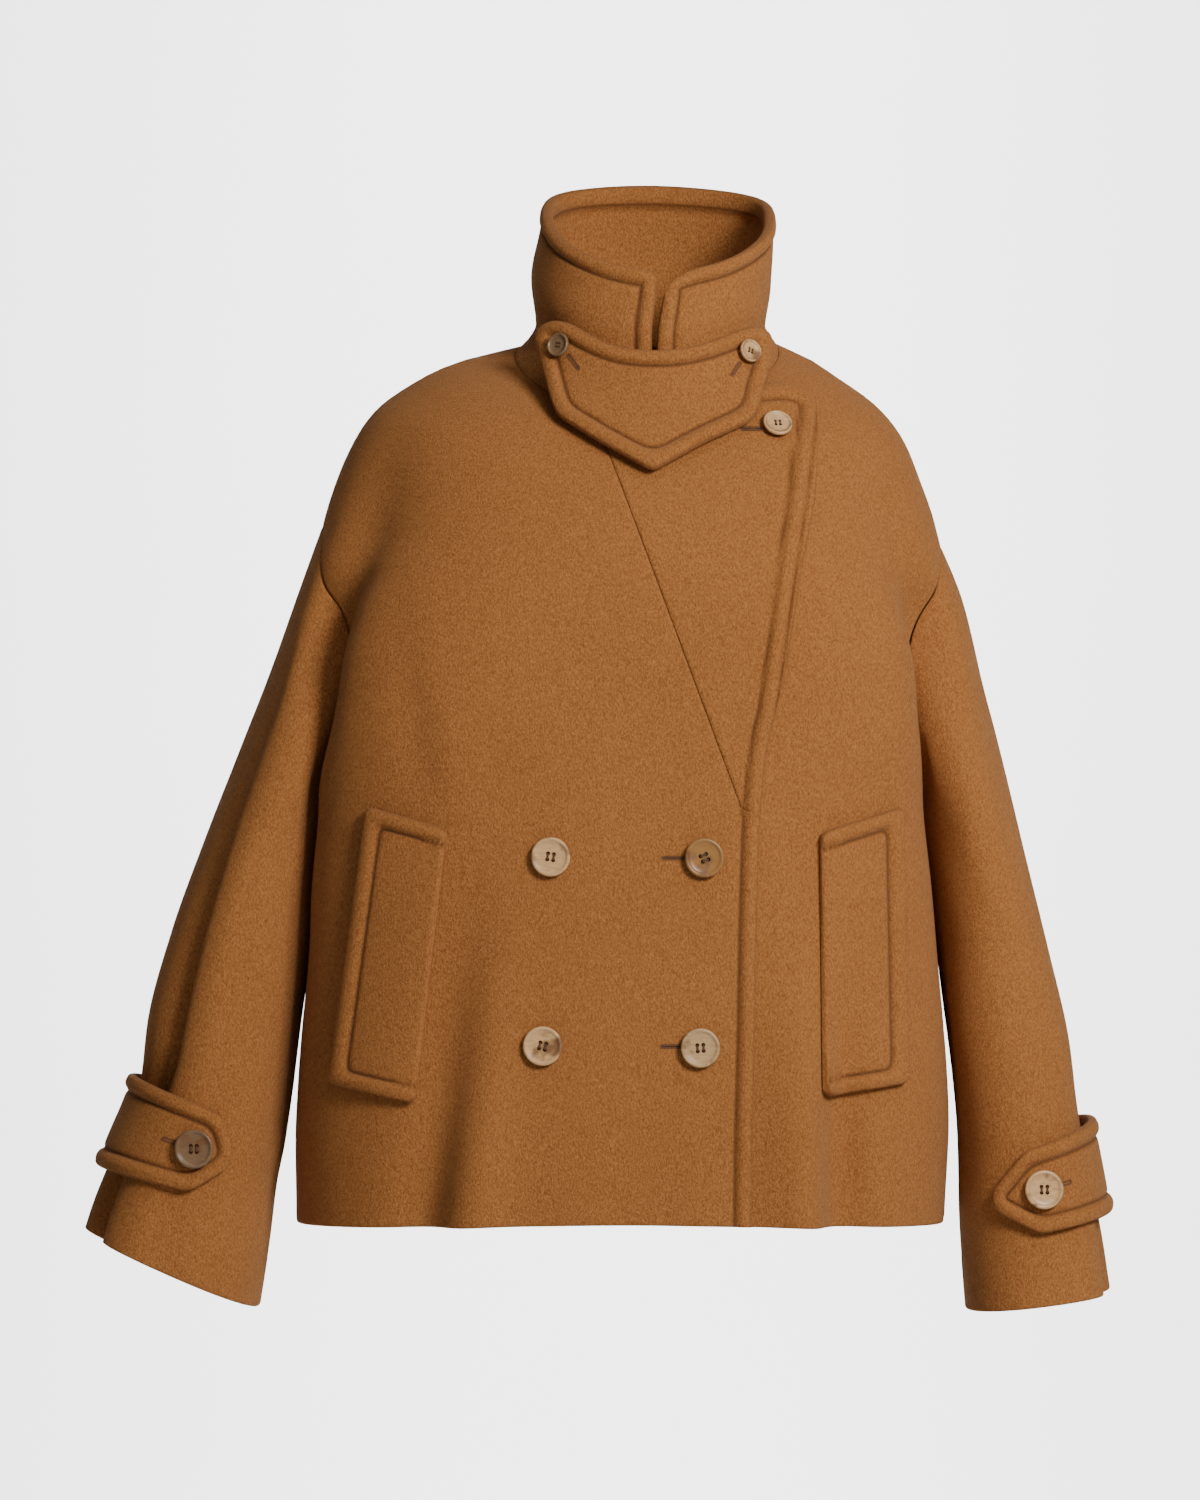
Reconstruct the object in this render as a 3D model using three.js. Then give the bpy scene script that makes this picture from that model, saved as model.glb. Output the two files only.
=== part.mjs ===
// Camel wool pea coat: cropped, boxy and double-breasted, with a tall stand collar, a buttoned
// throat tab, slanted welt pockets and strapped cuffs. It is hollow, as if a wearer filled it.
// Millimetres. +Z is up, +X is the wearer's left and the front faces -Y. The origin lies below
// the neck, at the height of the shoulders that hold the coat up.

import * as THREE from 'three';

// Cloth
const LAYER = 3;
const DOUBLED = 5.5;
const SEAM_GAP = 0.3;
const LAID_GAP = 0.9;
const OVERLAP_DROP = LAYER + 0.8;
const BAND = 12.5;

// Buttons, by diameter
const COAT_BUTTON = 29;
const LAPEL_BUTTON = 22.5;
const TAB_BUTTON = 18;
const BUTTON_STAND = 2.2;
const BUTTON_THICKNESS = 4.2;
const BUTTON_SIDES = 12;

// Armholes: heights of their top and of the underarm, and how far they swing off the side line
const RIGHT_ARMHOLE = { top: -131, under: -338, forward: 15.5, backward: 17 };
const LEFT_ARMHOLE = { top: -146, under: -345, forward: 15.5, backward: 17 };

// Front opening
const LAPEL_SEAM = { topX: -48.5, topZ: -49, endX: 59.5, endZ: -341 };
const LAPEL_END = { x: 76, z: -350 };
const UNDER_EDGE = { topX: -58, topZ: -52, hemX: -98, hemZ: -645 };
const COVER_START = 32;
const COVER_END = 84;

// Loops of the body, by the height of each loop at the sides. A loop is centred on centre and
// reaches half to each side, front and back. The squareness of its corners is 2 on an ellipse.
// Tilt lowers the front and raises the back, curl lowers both, and lean lifts the left side.
const LOOP_COLUMNS = 'side centre half front back squareFront squareBack tilt curl lean';
const BODY_LOOPS = table(LOOP_COLUMNS, [
  [-2, -7.5, 99.5, 92, 80, 2.1, 2.1, 34.5, 9.2, 2],
  [-11, -16.5, 134, 104, 92, 2.05, 2, 35, 12, 1],
  [-22, -20, 156, 113, 101, 2, 2, 35, 14, 0],
  [-45, -21.5, 189, 124, 112, 2, 2, 32, 14.5, 0],
  [-67, -21, 205.5, 130, 118, 2, 2, 27.5, 13.5, 0],
  [-97, -21.5, 218.5, 136, 123, 2, 2.05, 20, 10, 0],
  [-131, -21, 229.5, 142, 127, 2.1, 2.1, 12, 6, 0],
  [-165, -21.5, 236, 146, 130, 2.4, 2.3, 5, 2.5, 0],
  [-197, -22, 236, 149, 132, 2.8, 2.5, 0, 0, 0],
  [-238, -22, 237, 152, 134, 3.1, 2.6, 0, 0, 0],
  [-280, -24, 238, 156, 137, 3.1, 2.7, 0, 0, 0],
  [-335, -28, 240, 160, 140, 2.8, 2.6, 0, 0, 0],
  [-400, -27.5, 247, 163, 144, 2.6, 2.5, 0, 0, 0],
  [-450, -26.5, 251, 165, 148, 2.5, 2.5, 0, 0, 0],
  [-545, -26, 255, 168, 156, 2.5, 2.5, -1, -1, 0],
  [-652, -26.5, 249.5, 170, 162, 2.5, 2.5, -2.5, -2.3, 0],
]);

// The drape that runs from the shoulder into the armpit and on down the side, where the sleeve
// lies in it: how far in front of the side line it runs, its width, and its depth on each side
const ARM_DRAPE = [
  { side: -40, forward: 62, width: 14, right: 0, left: 0 },
  { side: -97, forward: 75, width: 14, right: 6, left: 3 },
  { side: -131, forward: 80, width: 14, right: 11, left: 6 },
  { side: -165, forward: 84, width: 15, right: 16, left: 11 },
  { side: -197, forward: 74, width: 18, right: 25, left: 21 },
  { side: -238, forward: 64, width: 20, right: 28, left: 25 },
  { side: -280, forward: 48, width: 26, right: 31, left: 27 },
  { side: -335, forward: 8, width: 38, right: 34, left: 27 },
  { side: -400, forward: 5, width: 40, right: 31, left: 25 },
  { side: -450, forward: 8, width: 40, right: 27, left: 22 },
  { side: -500, forward: 10, width: 40, right: 21, left: 18 },
  { side: -548, forward: 12, width: 40, right: 16, left: 14 },
  { side: -592, forward: 14, width: 40, right: 10, left: 10 },
  { side: -652, forward: 16, width: 40, right: 6, left: 9 },
];

// The same drape behind the arm, down to where it joins the one above
const BACK_DRAPE = [
  { side: -120, backward: 75, width: 20, depth: 0 },
  { side: -165, backward: 80, width: 20, depth: 7 },
  { side: -197, backward: 80, width: 20, depth: 15 },
  { side: -238, backward: 76, width: 20, depth: 19 },
  { side: -280, backward: 62, width: 24, depth: 19 },
  { side: -320, backward: 40, width: 26, depth: 9 },
  { side: -350, backward: 30, width: 26, depth: 0 },
];

// Folds that open towards the hem: where each starts and ends, its width and its height there
const HEM_FOLDS = [
  { face: 'front', topX: -108, topZ: -330, hemX: -146, width: 19, height: 11 },
  { face: 'front', topX: -120, topZ: -340, hemX: -172, width: 17, height: -9 },
  { face: 'front', topX: 108, topZ: -330, hemX: 120, width: 19, height: 15 },
  { face: 'front', topX: 140, topZ: -540, hemX: 150, width: 16, height: -9 },
  { face: 'back', topX: -120, topZ: -300, hemX: -168, width: 22, height: 13 },
  { face: 'back', topX: -80, topZ: -340, hemX: -112, width: 24, height: -11 },
  { face: 'back', topX: -28, topZ: -380, hemX: -34, width: 24, height: 8 },
  { face: 'back', topX: 40, topZ: -350, hemX: 56, width: 24, height: -10 },
  { face: 'back', topX: 84, topZ: -300, hemX: 116, width: 22, height: 14 },
];

// Outer edge of the right front and its lapel, by height
const FRONT_EDGE = [
  { height: -45, x: 116.8 },
  { height: -67, x: 117 },
  { height: -116, x: 113.7 },
  { height: -165, x: 105 },
  { height: -210, x: 98 },
  { height: -250, x: 91.5 },
  { height: -291, x: 83.5 },
  { height: -329, x: 78.2 },
  { height: -359, x: 75 },
  { height: -425, x: 71.7 },
  { height: -514, x: 69.5 },
  { height: -580, x: 67.8 },
  { height: -648, x: 67 },
];

// Sleeves, a row for each section: its outer and inner end in the front view, its middle and
// half depth from front to back, and the squareness of its corners
const RIGHT_SLEEVE = [
  { outerX: -250, outerZ: -131, innerX: -233, innerZ: -338, middleY: 5, depth: 70, square: 2 },
  { outerX: -268, outerZ: -180, innerX: -238, innerZ: -354, middleY: 5, depth: 78, square: 2 },
  { outerX: -290, outerZ: -240, innerX: -243, innerZ: -374, middleY: 4, depth: 85, square: 2 },
  { outerX: -314, outerZ: -300, innerX: -249, innerZ: -402, middleY: 2, depth: 88, square: 2 },
  { outerX: -340, outerZ: -366, innerX: -256, innerZ: -442, middleY: -2, depth: 88, square: 2 },
  { outerX: -364, outerZ: -435, innerX: -263, innerZ: -490, middleY: -7, depth: 86, square: 2.05 },
  { outerX: -381, outerZ: -502, innerX: -268.5, innerZ: -548, middleY: -13, depth: 83, square: 2.1 },
  { outerX: -386, outerZ: -547, innerX: -276, innerZ: -592, middleY: -18, depth: 80, square: 2.15 },
  { outerX: -403, outerZ: -592, innerX: -283, innerZ: -623, middleY: -22, depth: 78, square: 2.2 },
  { outerX: -421, outerZ: -637, innerX: -289, innerZ: -668, middleY: -27, depth: 76, square: 2.2 },
  { outerX: -427, outerZ: -656, innerX: -296, innerZ: -714, middleY: -31, depth: 76, square: 2.2 },
];
const LEFT_SLEEVE = [
  { outerX: 208.5, outerZ: -146, innerX: 191, innerZ: -345, middleY: 5, depth: 70, square: 2 },
  { outerX: 226, outerZ: -187, innerX: 194, innerZ: -360, middleY: 5, depth: 78, square: 2 },
  { outerX: 245, outerZ: -255, innerX: 198, innerZ: -384, middleY: 4, depth: 85, square: 2 },
  { outerX: 262, outerZ: -315, innerX: 203, innerZ: -414, middleY: 2, depth: 88, square: 2 },
  { outerX: 279, outerZ: -382, innerX: 208.5, innerZ: -452, middleY: -2, depth: 88, square: 2 },
  { outerX: 296, outerZ: -450, innerX: 213, innerZ: -505, middleY: -7, depth: 86, square: 2.05 },
  { outerX: 311, outerZ: -517, innerX: 219, innerZ: -560, middleY: -13, depth: 83, square: 2.1 },
  { outerX: 317, outerZ: -570, innerX: 223, innerZ: -606, middleY: -18, depth: 80, square: 2.15 },
  { outerX: 326, outerZ: -620, innerX: 224.5, innerZ: -645, middleY: -22, depth: 78, square: 2.2 },
  { outerX: 334, outerZ: -665, innerX: 227, innerZ: -683, middleY: -27, depth: 76, square: 2.2 },
  { outerX: 339, outerZ: -702, innerX: 229.5, innerZ: -716, middleY: -31, depth: 76, square: 2.2 },
];

// Pleat on each sleeve, by the share of the sleeve's length: where it lies round the sleeve,
// from 0 on the outer side to 90 on the front, and its depth
const RIGHT_PLEAT = [
  { share: 0.08, around: 44, depth: 0 },
  { share: 0.3, around: 50, depth: 7 },
  { share: 0.5, around: 57, depth: 14 },
  { share: 0.66, around: 58, depth: 20 },
  { share: 0.8, around: 50, depth: 28 },
  { share: 1, around: 46, depth: 30 },
];
const LEFT_PLEAT = [
  { share: 0.3, around: 8, depth: 0 },
  { share: 0.5, around: 12, depth: 4 },
  { share: 0.7, around: 18, depth: 10 },
  { share: 0.85, around: 24, depth: 16 },
  { share: 1, around: 28, depth: 20 },
];
const PLEAT_LIP = 9;
const PLEAT_SLOPE = 15;
const LIP_RISE = 0.08;
const LIP_PLACE = 2.4 * PLEAT_LIP;

// Where a sleeve takes the armhole's shape, and how it rests beside the body
const SLEEVE_JOINED = 95;
const CLEAR_OF_BODY = 4.5;
const CLEAR_START = 6;
const CLEAR_FULL = 25;
const PRESS_SMOOTHING = 3;
const BELOW_HEM = 25;
const SIDE_SPAN = { from: 40, to: 140 };
const FACING = { from: 0.55, over: 0.5 };

// Loops of the stand collar, from its foot to its rim
const COLLAR_LOOPS = table(LOOP_COLUMNS, [
  [-2, -7.5, 99.5, 92, 80, 2.1, 2.1, 34.5, 9.2, 2],
  [6, -5.5, 92, 92, 79, 2.1, 2.1, 34, 8.5, 1],
  [18, -4.8, 86, 91.5, 78, 2.1, 2.1, 33.5, 7.5, 0],
  [54, -4, 90, 93, 81, 2.15, 2.3, 34, 6.8, -1.5],
  [82, -0.5, 88, 89, 79, 2.2, 2.6, 36.5, 6, -2],
  [103, 1.5, 85.5, 85, 76, 2.2, 2.75, 38, 5.6, -2],
]);
const COLLAR_SLIT = { foot: 0.8, rim: 3.2, centreX: -6, leftCorner: 30, rightCorner: 13 };

// Flat outlines of the pieces laid on others. Each row is a corner and the side that starts
// there: band marks a rolled edge, cuts is the number of facets, corner marks one of four corners
// between which the inner points are spread.

// Throat tab, as seen from the front. It is stiff: by height, how far in front of the neck's
// middle it hangs and how strongly it bends round the neck.
const TAB_OUTLINE = [
  { x: -88.8, z: 6.1, band: true, cuts: 1, corner: true },
  { x: -83.2, z: 14.2, band: true, cuts: 1 },
  { x: -74.4, z: 17.9, band: true, cuts: 1 },
  { x: -61.7, z: 14.2, band: true, cuts: 1 },
  { x: -50.4, z: 6.2, band: true, cuts: 1 },
  { x: -36, z: -1.9, band: true, cuts: 1 },
  { x: -20, z: -5.7, band: true, cuts: 1 },
  { x: -2.4, z: -6.7, band: true, cuts: 1 },
  { x: 15.2, z: -5.7, band: true, cuts: 1 },
  { x: 31.1, z: -1.9, band: true, cuts: 1 },
  { x: 47.2, z: 4.6, band: true, cuts: 1 },
  { x: 60, z: 10.3, band: true, cuts: 1 },
  { x: 71.2, z: 13.2, band: true, cuts: 1 },
  { x: 80.7, z: 7.7, band: true, cuts: 1 },
  { x: 83, z: -1.9, band: true, cuts: 1, corner: true },
  { x: 81.6, z: -16, band: true, cuts: 1 },
  { x: 76.5, z: -32.2, band: true, cuts: 2 },
  { x: 72.7, z: -53.2, band: true, cuts: 1, corner: true },
  { x: 66.2, z: -61.4, band: true, cuts: 3 },
  { x: 34, z: -76.4, band: true, cuts: 3 },
  { x: -4.3, z: -98.1, band: true, cuts: 3 },
  { x: -42.5, z: -76.4, band: true, cuts: 4 },
  { x: -72.9, z: -56.9, band: true, cuts: 1, corner: true },
  { x: -77.6, z: -45, band: true, cuts: 1 },
  { x: -81.5, z: -25.8, band: true, cuts: 1 },
  { x: -85.6, z: -6.4, band: true, cuts: 1 },
];
const TAB_SHAPE = [
  { height: -118, reach: 130, bend: 0.0009 },
  { height: -99, reach: 124, bend: 0.0011 },
  { height: -70, reach: 112, bend: 0.0018 },
  { height: -45, reach: 104, bend: 0.0027 },
  { height: -25, reach: 100, bend: 0.0038 },
  { height: 0, reach: 97, bend: 0.0052 },
  { height: 19, reach: 94, bend: 0.0062 },
  { height: 34, reach: 93, bend: 0.0064 },
];
const TAB_SMOOTHING = 7;

// Pocket welts, as seen from the front
const WELT_RISE = 0.4;
const RIGHT_WELT = [
  { x: -211, z: -341, band: true, cuts: 2, corner: true },
  { x: -153.5, z: -357, band: false, cuts: 9, corner: true },
  { x: -177.5, z: -557.5, band: true, cuts: 2, corner: true },
  { x: -238.5, z: -544.5, band: true, cuts: 9, corner: true },
];
const LEFT_WELT = [
  { x: 117.5, z: -360, band: true, cuts: 2, corner: true },
  { x: 177, z: -341, band: true, cuts: 9, corner: true },
  { x: 181, z: -544, band: true, cuts: 2, corner: true },
  { x: 121, z: -553, band: false, cuts: 9, corner: true },
];

// Cuff straps, by degrees round the sleeve and the share of its length
const STRAP_REACH = 78;
const STRAP_SCALE = (STRAP_REACH * Math.PI) / 180;
const STRAP_RISE = 2.0;
const STRAP_WIDTH = 63;
const STRAP_TIP = 8;
const RIGHT_STRAP = { back: -75, upper: 98, lower: 93, tip: 112, button: 88, middle: 0.802, tilt: -1.5 };
const LEFT_STRAP = { back: -75, upper: 92, lower: 88, tip: 118, button: 82, middle: 0.817, tilt: 2 };

// Buttons by their places in the front view
const FRONT_BUTTONS = [
  { name: 'front_button_upper_right', x: -78.3, z: -377.7 },
  { name: 'front_button_upper_left', x: 32.7, z: -378.4 },
  { name: 'front_button_lower_right', x: -84.1, z: -514.6 },
  { name: 'front_button_lower_left', x: 29.8, z: -516.1 },
];
const LAPEL_BUTTON_SPOT = { x: 86, z: -64.5 };
const TAB_BUTTON_SPOTS = [
  { name: 'tab_button_right', x: -68, z: -3.5 },
  { name: 'tab_button_left', x: 62.5, z: -8.5 },
];

// Colours
const CAMEL = 0xad7041;
const HORN = 0xd9c3a0;
const AMBER_HORN = 0xb08a5c;

const group = new THREE.Group();

/** Rows of a table as objects, by the names of its columns. */
function table(columns, rows) {
  const names = columns.split(' ');
  return rows.map((row) => Object.fromEntries(names.map((name, k) => [name, row[k]])));
}

function mix(from, to, share) {
  return from + (to - from) * share;
}

function ease(share) {
  const held = Math.min(1, Math.max(0, share));
  return held * held * (3 - 2 * held);
}

function bell(offset, width) {
  return Math.exp(-0.5 * (offset / width) ** 2);
}

function radians(angle) {
  return (angle * Math.PI) / 180;
}

function degrees(angle) {
  return (angle * 180) / Math.PI;
}

/** Smooth curves through the columns of a table, without overshoot between its rows. */
class Curves {
  constructor(rows, key) {
    this.rows = [...rows].sort((a, b) => a[key] - b[key]);
    this.places = this.rows.map((row) => row[key]);
    this.columns = new Map();
  }

  column(name) {
    if (!this.columns.has(name)) {
      const values = this.rows.map((row) => row[name]);
      this.columns.set(name, { values, slopes: this.slopes(values) });
    }
    return this.columns.get(name);
  }

  slopes(values) {
    const steps = this.places.slice(1).map((place, k) => place - this.places[k]);
    const rises = steps.map((step, k) => (values[k + 1] - values[k]) / step);
    return values.map((_, k) => {
      if (k === 0) {
        return rises[0];
      }
      if (k === values.length - 1) {
        return rises[k - 1];
      }
      if (rises[k - 1] * rises[k] <= 0) {
        return 0;
      }
      const before = 2 * steps[k] + steps[k - 1];
      const after = steps[k] + 2 * steps[k - 1];
      return (before + after) / (before / rises[k - 1] + after / rises[k]);
    });
  }

  at(place, name) {
    const { values, slopes } = this.column(name);
    const last = this.places.length - 1;
    if (place <= this.places[0]) {
      return values[0] + slopes[0] * (place - this.places[0]);
    }
    if (place >= this.places[last]) {
      return values[last] + slopes[last] * (place - this.places[last]);
    }
    let k = 0;
    while (this.places[k + 1] < place) {
      k += 1;
    }
    const step = this.places[k + 1] - this.places[k];
    const t = (place - this.places[k]) / step;
    const fromStart = (1 + 2 * t) * (1 - t) ** 2 * values[k] + t * (1 - t) ** 2 * step * slopes[k];
    const fromEnd = t * t * (3 - 2 * t) * values[k + 1] + t * t * (t - 1) * step * slopes[k + 1];
    return fromStart + fromEnd;
  }

  held(place, name) {
    const last = this.places.length - 1;
    return this.at(Math.min(this.places[last], Math.max(this.places[0], place)), name);
  }
}

/** A tube of loops round the body or the neck. */
class LoopStack {
  constructor(rows) {
    this.curves = new Curves(rows, 'side');
  }

  /** Point at a turn from the front, towards the wearer's left, and the way out of it. */
  spot(turn, side) {
    const at = (name) => this.curves.at(side, name);
    const s = Math.sin(radians(turn));
    const c = Math.cos(radians(turn));
    const square = c > 0 ? at('squareFront') : at('squareBack');
    const deep = c > 0 ? at('front') : at('back');
    const half = at('half');
    const reach = ((Math.abs(s) / half) ** square + (Math.abs(c) / deep) ** square) ** (-1 / square);
    const outX = (Math.sign(s) * (Math.abs(reach * s) / half) ** (square - 1)) / half;
    const outY = (-Math.sign(c) * (Math.abs(reach * c) / deep) ** (square - 1)) / deep;
    const height = side - at('tilt') * c - 2 * at('curl') * c * c + at('lean') * s;
    return {
      point: new THREE.Vector3(at('centre') + reach * s, -reach * c, height),
      out: new THREE.Vector3(outX, outY, 0).normalize(),
    };
  }
}

const body = new LoopStack(BODY_LOOPS);
const neck = new LoopStack(COLLAR_LOOPS);
const armDrape = new Curves(ARM_DRAPE, 'side');
const backDrape = new Curves(BACK_DRAPE, 'side');
const frontEdge = new Curves(FRONT_EDGE, 'height');
const HEM = BODY_LOOPS[BODY_LOOPS.length - 1].side;

// Searches for a place on a surface: steps of halving, steps of approach and their longest reach
const HALVINGS = 40;
const APPROACHES = 14;
const LONGEST_TURN = 12;
const LONGEST_FALL = 40;
const FRONT_SPAN = { from: -75, to: 85 };
const PROBE_TURN = 0.2;
const PROBE_SIDE = 0.5;

// Steps to each side that a way out is worked out from
const LOOP_STEPS = [0.4, 0.8];
const THROAT_STEPS = [1.5, 1.5];
const SLEEVE_STEPS = [1, 1.5];

function foldLift(point) {
  const face = point.y < 0 ? 'front' : 'back';
  return HEM_FOLDS.filter((fold) => fold.face === face).reduce((sum, fold) => {
    const share = (fold.topZ - point.z) / (fold.topZ - HEM);
    if (share <= 0) {
      return sum;
    }
    const line = mix(fold.topX, fold.hemX, share);
    return sum + fold.height * ease(share) * bell(point.x - line, fold.width);
  }, 0);
}

function drapeDepth(point, side, turn) {
  const wearer = Math.sin(radians(turn)) < 0 ? 'right' : 'left';
  const front = armDrape.held(side, wearer);
  const frontBell = bell(point.y + armDrape.held(side, 'forward'), armDrape.held(side, 'width'));
  const rear = backDrape.held(side, 'depth');
  const rearBell = bell(point.y - backDrape.held(side, 'backward'), backDrape.held(side, 'width'));
  return front * frontBell + rear * rearBell;
}

/** Point on the outer face of the body's cloth. */
function bodyPoint(turn, side) {
  const { point, out } = body.spot(turn, side);
  return point.addScaledVector(out, foldLift(point) - drapeDepth(point, side, turn));
}

/** Way out of a surface given by a function of two places. */
function wayOut(surface, a, b, stepA, stepB) {
  const alongA = surface(a + stepA, b).sub(surface(a - stepA, b));
  const alongB = surface(a, b + stepB).sub(surface(a, b - stepB));
  return alongA.cross(alongB).normalize();
}

function onBody(turn, side, lift) {
  return bodyPoint(turn, side).addScaledVector(wayOut(bodyPoint, turn, side, ...LOOP_STEPS), lift);
}

/** Turn and side height of the body's front where it is seen at x and z. */
function frontSpot(x, z) {
  let turn = degrees(Math.atan2(x - BODY_LOOPS[3].centre, BODY_LOOPS[7].front));
  let side = z;
  for (let step = 0; step < APPROACHES; step += 1) {
    const here = bodyPoint(turn, side);
    const byTurn = bodyPoint(turn + PROBE_TURN, side).sub(here).divideScalar(PROBE_TURN);
    const bySide = bodyPoint(turn, side + PROBE_SIDE).sub(here).divideScalar(PROBE_SIDE);
    const size = byTurn.x * bySide.z - byTurn.z * bySide.x;
    const missX = x - here.x;
    const missZ = z - here.z;
    const moreTurn = (missX * bySide.z - missZ * bySide.x) / size;
    const moreSide = (byTurn.x * missZ - byTurn.z * missX) / size;
    turn += Math.max(-LONGEST_TURN, Math.min(LONGEST_TURN, moreTurn));
    side += Math.max(-LONGEST_FALL, Math.min(LONGEST_FALL, moreSide));
  }
  return { turn, side };
}

function onFront(x, z, lift) {
  const { turn, side } = frontSpot(x, z);
  return onBody(turn, side, lift);
}

/** Drop of the left front where the right front and its lapel lie over it. */
function coverDrop(turn) {
  return OVERLAP_DROP * (1 - ease((turn - COVER_START) / (COVER_END - COVER_START)));
}

/** Point over the left front, as on the lapel, lifted off its cloth. */
function overLeftFront(x, z, lift) {
  const { turn, side } = frontSpot(x, z);
  return onBody(turn, side, lift - coverDrop(turn));
}

/** Rise of a rolled, stitched edge above the cloth's face, by the distance from the edge. */
const BAND_RISE = new Curves([
  { from: 0, rise: -1.7 },
  { from: 1.5, rise: 0.2 },
  { from: 5.5, rise: 1.4 },
  { from: 10, rise: 0.7 },
  { from: BAND, rise: -1 },
  { from: 15, rise: -0.1 },
  { from: 19, rise: 0 },
], 'from');
const BAND_STEPS = [0, 1.5, 5.5, 10, BAND, 15];
const EDGE_CUT = 0.8;
const SEWN_DROP = 1;

function bandRise(distance) {
  return BAND_RISE.held(distance, 'rise');
}

/** Closed solid from its points and triangles, turned so that its faces point out. */
function closedSolid(points, triangles) {
  let volume = 0;
  for (const [a, b, c] of triangles) {
    volume += points[a].dot(points[b].clone().cross(points[c]));
  }
  const faces = volume < 0 ? triangles.map(([a, b, c]) => [a, c, b]) : triangles;
  const geometry = new THREE.BufferGeometry();
  geometry.setAttribute('position', new THREE.Float32BufferAttribute(points.flatMap((p) => p.toArray()), 3));
  geometry.setIndex(faces.flat());
  geometry.computeVertexNormals();
  return geometry;
}

/** Wall of cloth between two sheets of points, each a list of rows; a loop closes each row. */
function wall(outer, inner, loop = false) {
  const rows = outer.length;
  const columns = outer[0].length;
  const points = [...outer.flat(), ...inner.flat()];
  const triangles = [];
  const index = (sheet, row, column) => sheet * rows * columns + row * columns + (column % columns);
  const quad = (a, b, c, d) => triangles.push([a, b, c], [a, c, d]);
  const spans = loop ? columns : columns - 1;
  for (let j = 0; j < spans; j += 1) {
    for (let i = 0; i < rows - 1; i += 1) {
      const near = [index(0, i, j), index(0, i + 1, j), index(0, i + 1, j + 1), index(0, i, j + 1)];
      const falling = points[near[0]].distanceTo(points[near[2]]);
      if (falling > points[near[1]].distanceTo(points[near[3]])) {
        near.push(near.shift());
      }
      const [a, b, c, d] = near;
      const sheet = rows * columns;
      quad(a, b, c, d);
      triangles.push([sheet + a, sheet + c, sheet + b], [sheet + a, sheet + d, sheet + c]);
    }
    quad(index(0, 0, j), index(0, 0, j + 1), index(1, 0, j + 1), index(1, 0, j));
    quad(index(0, rows - 1, j), index(1, rows - 1, j), index(1, rows - 1, j + 1), index(0, rows - 1, j + 1));
  }
  if (!loop) {
    const last = columns - 1;
    for (let i = 0; i < rows - 1; i += 1) {
      quad(index(0, i, 0), index(1, i, 0), index(1, i + 1, 0), index(0, i + 1, 0));
      quad(index(0, i, last), index(0, i + 1, last), index(1, i + 1, last), index(1, i, last));
    }
  }
  return closedSolid(points, triangles);
}

function addPiece(name, geometry, colour, roughness) {
  const material = new THREE.MeshStandardMaterial({ color: colour, roughness, metalness: 0 });
  const mesh = new THREE.Mesh(geometry, material);
  mesh.name = name;
  group.add(mesh);
  return mesh;
}

function addCloth(name, geometry) {
  addPiece(name, geometry, CAMEL, 0.95);
}

/** Rows of a panel at its side edge: shoulder, armhole and side seam below it. */
const SHOULDER_ROWS = [-2, -11, -22, -45, -67, -97];
const ARMHOLE_SPANS = 9;
const BELOW_SPANS = 10;
const EDGE_PULL = 1.5;

/** Rows by their side height, with the share of the armhole's swing and which way is off it. */
function sideRows(armhole) {
  const foot = SHOULDER_ROWS[0];
  const scale = (armhole.top - foot) / (RIGHT_ARMHOLE.top - foot);
  const rows = SHOULDER_ROWS.map((side) => {
    const scaled = foot + (side - foot) * scale;
    return { side: scaled, level: scaled, swing: 0, aside: 1, above: 0 };
  });
  for (let k = 0; k < ARMHOLE_SPANS; k += 1) {
    const around = (Math.PI * k) / ARMHOLE_SPANS;
    rows.push({
      side: mix(armhole.top, armhole.under, (1 - Math.cos(around)) / 2),
      level: mix(armhole.top, armhole.under, k / ARMHOLE_SPANS),
      swing: Math.sin(around),
      aside: k === 0 ? 1 : Math.sin(around),
      above: Math.cos(around),
    });
  }
  for (let k = 0; k <= BELOW_SPANS; k += 1) {
    const side = mix(armhole.under, HEM, k / BELOW_SPANS);
    rows.push({ side, level: side, swing: 0, aside: 1, above: k === 0 ? -1 : 0 });
  }
  return rows;
}

/** Turn and side height of a panel's edge in a row, half a seam gap off the seam. */
function panelEdge(row, direction, middleTurn, swing) {
  const turn = middleTurn + direction * swing * row.swing;
  const trim = (SEAM_GAP / 2) * row.aside;
  return {
    turn: turn + (direction * trim) / lengthPerDegree(turn, row.side),
    side: row.side + (SEAM_GAP / 2) * row.above,
  };
}

/** Turn at which a body loop crosses a line given as x by height. */
function crossing(side, line) {
  let low = FRONT_SPAN.from;
  let high = FRONT_SPAN.to;
  for (let step = 0; step < HALVINGS; step += 1) {
    const turn = (low + high) / 2;
    const point = bodyPoint(turn, side);
    if (point.x < line(point.z)) {
      low = turn;
    } else {
      high = turn;
    }
  }
  return (low + high) / 2;
}

/** Length of cloth for a degree of turn at a place on the body. */
function lengthPerDegree(turn, side) {
  return bodyPoint(turn + 0.5, side).distanceTo(bodyPoint(turn - 0.5, side));
}

function seamX(z) {
  const share = (z - LAPEL_SEAM.topZ) / (LAPEL_SEAM.endZ - LAPEL_SEAM.topZ);
  return mix(LAPEL_SEAM.topX, LAPEL_SEAM.endX, share);
}

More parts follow.
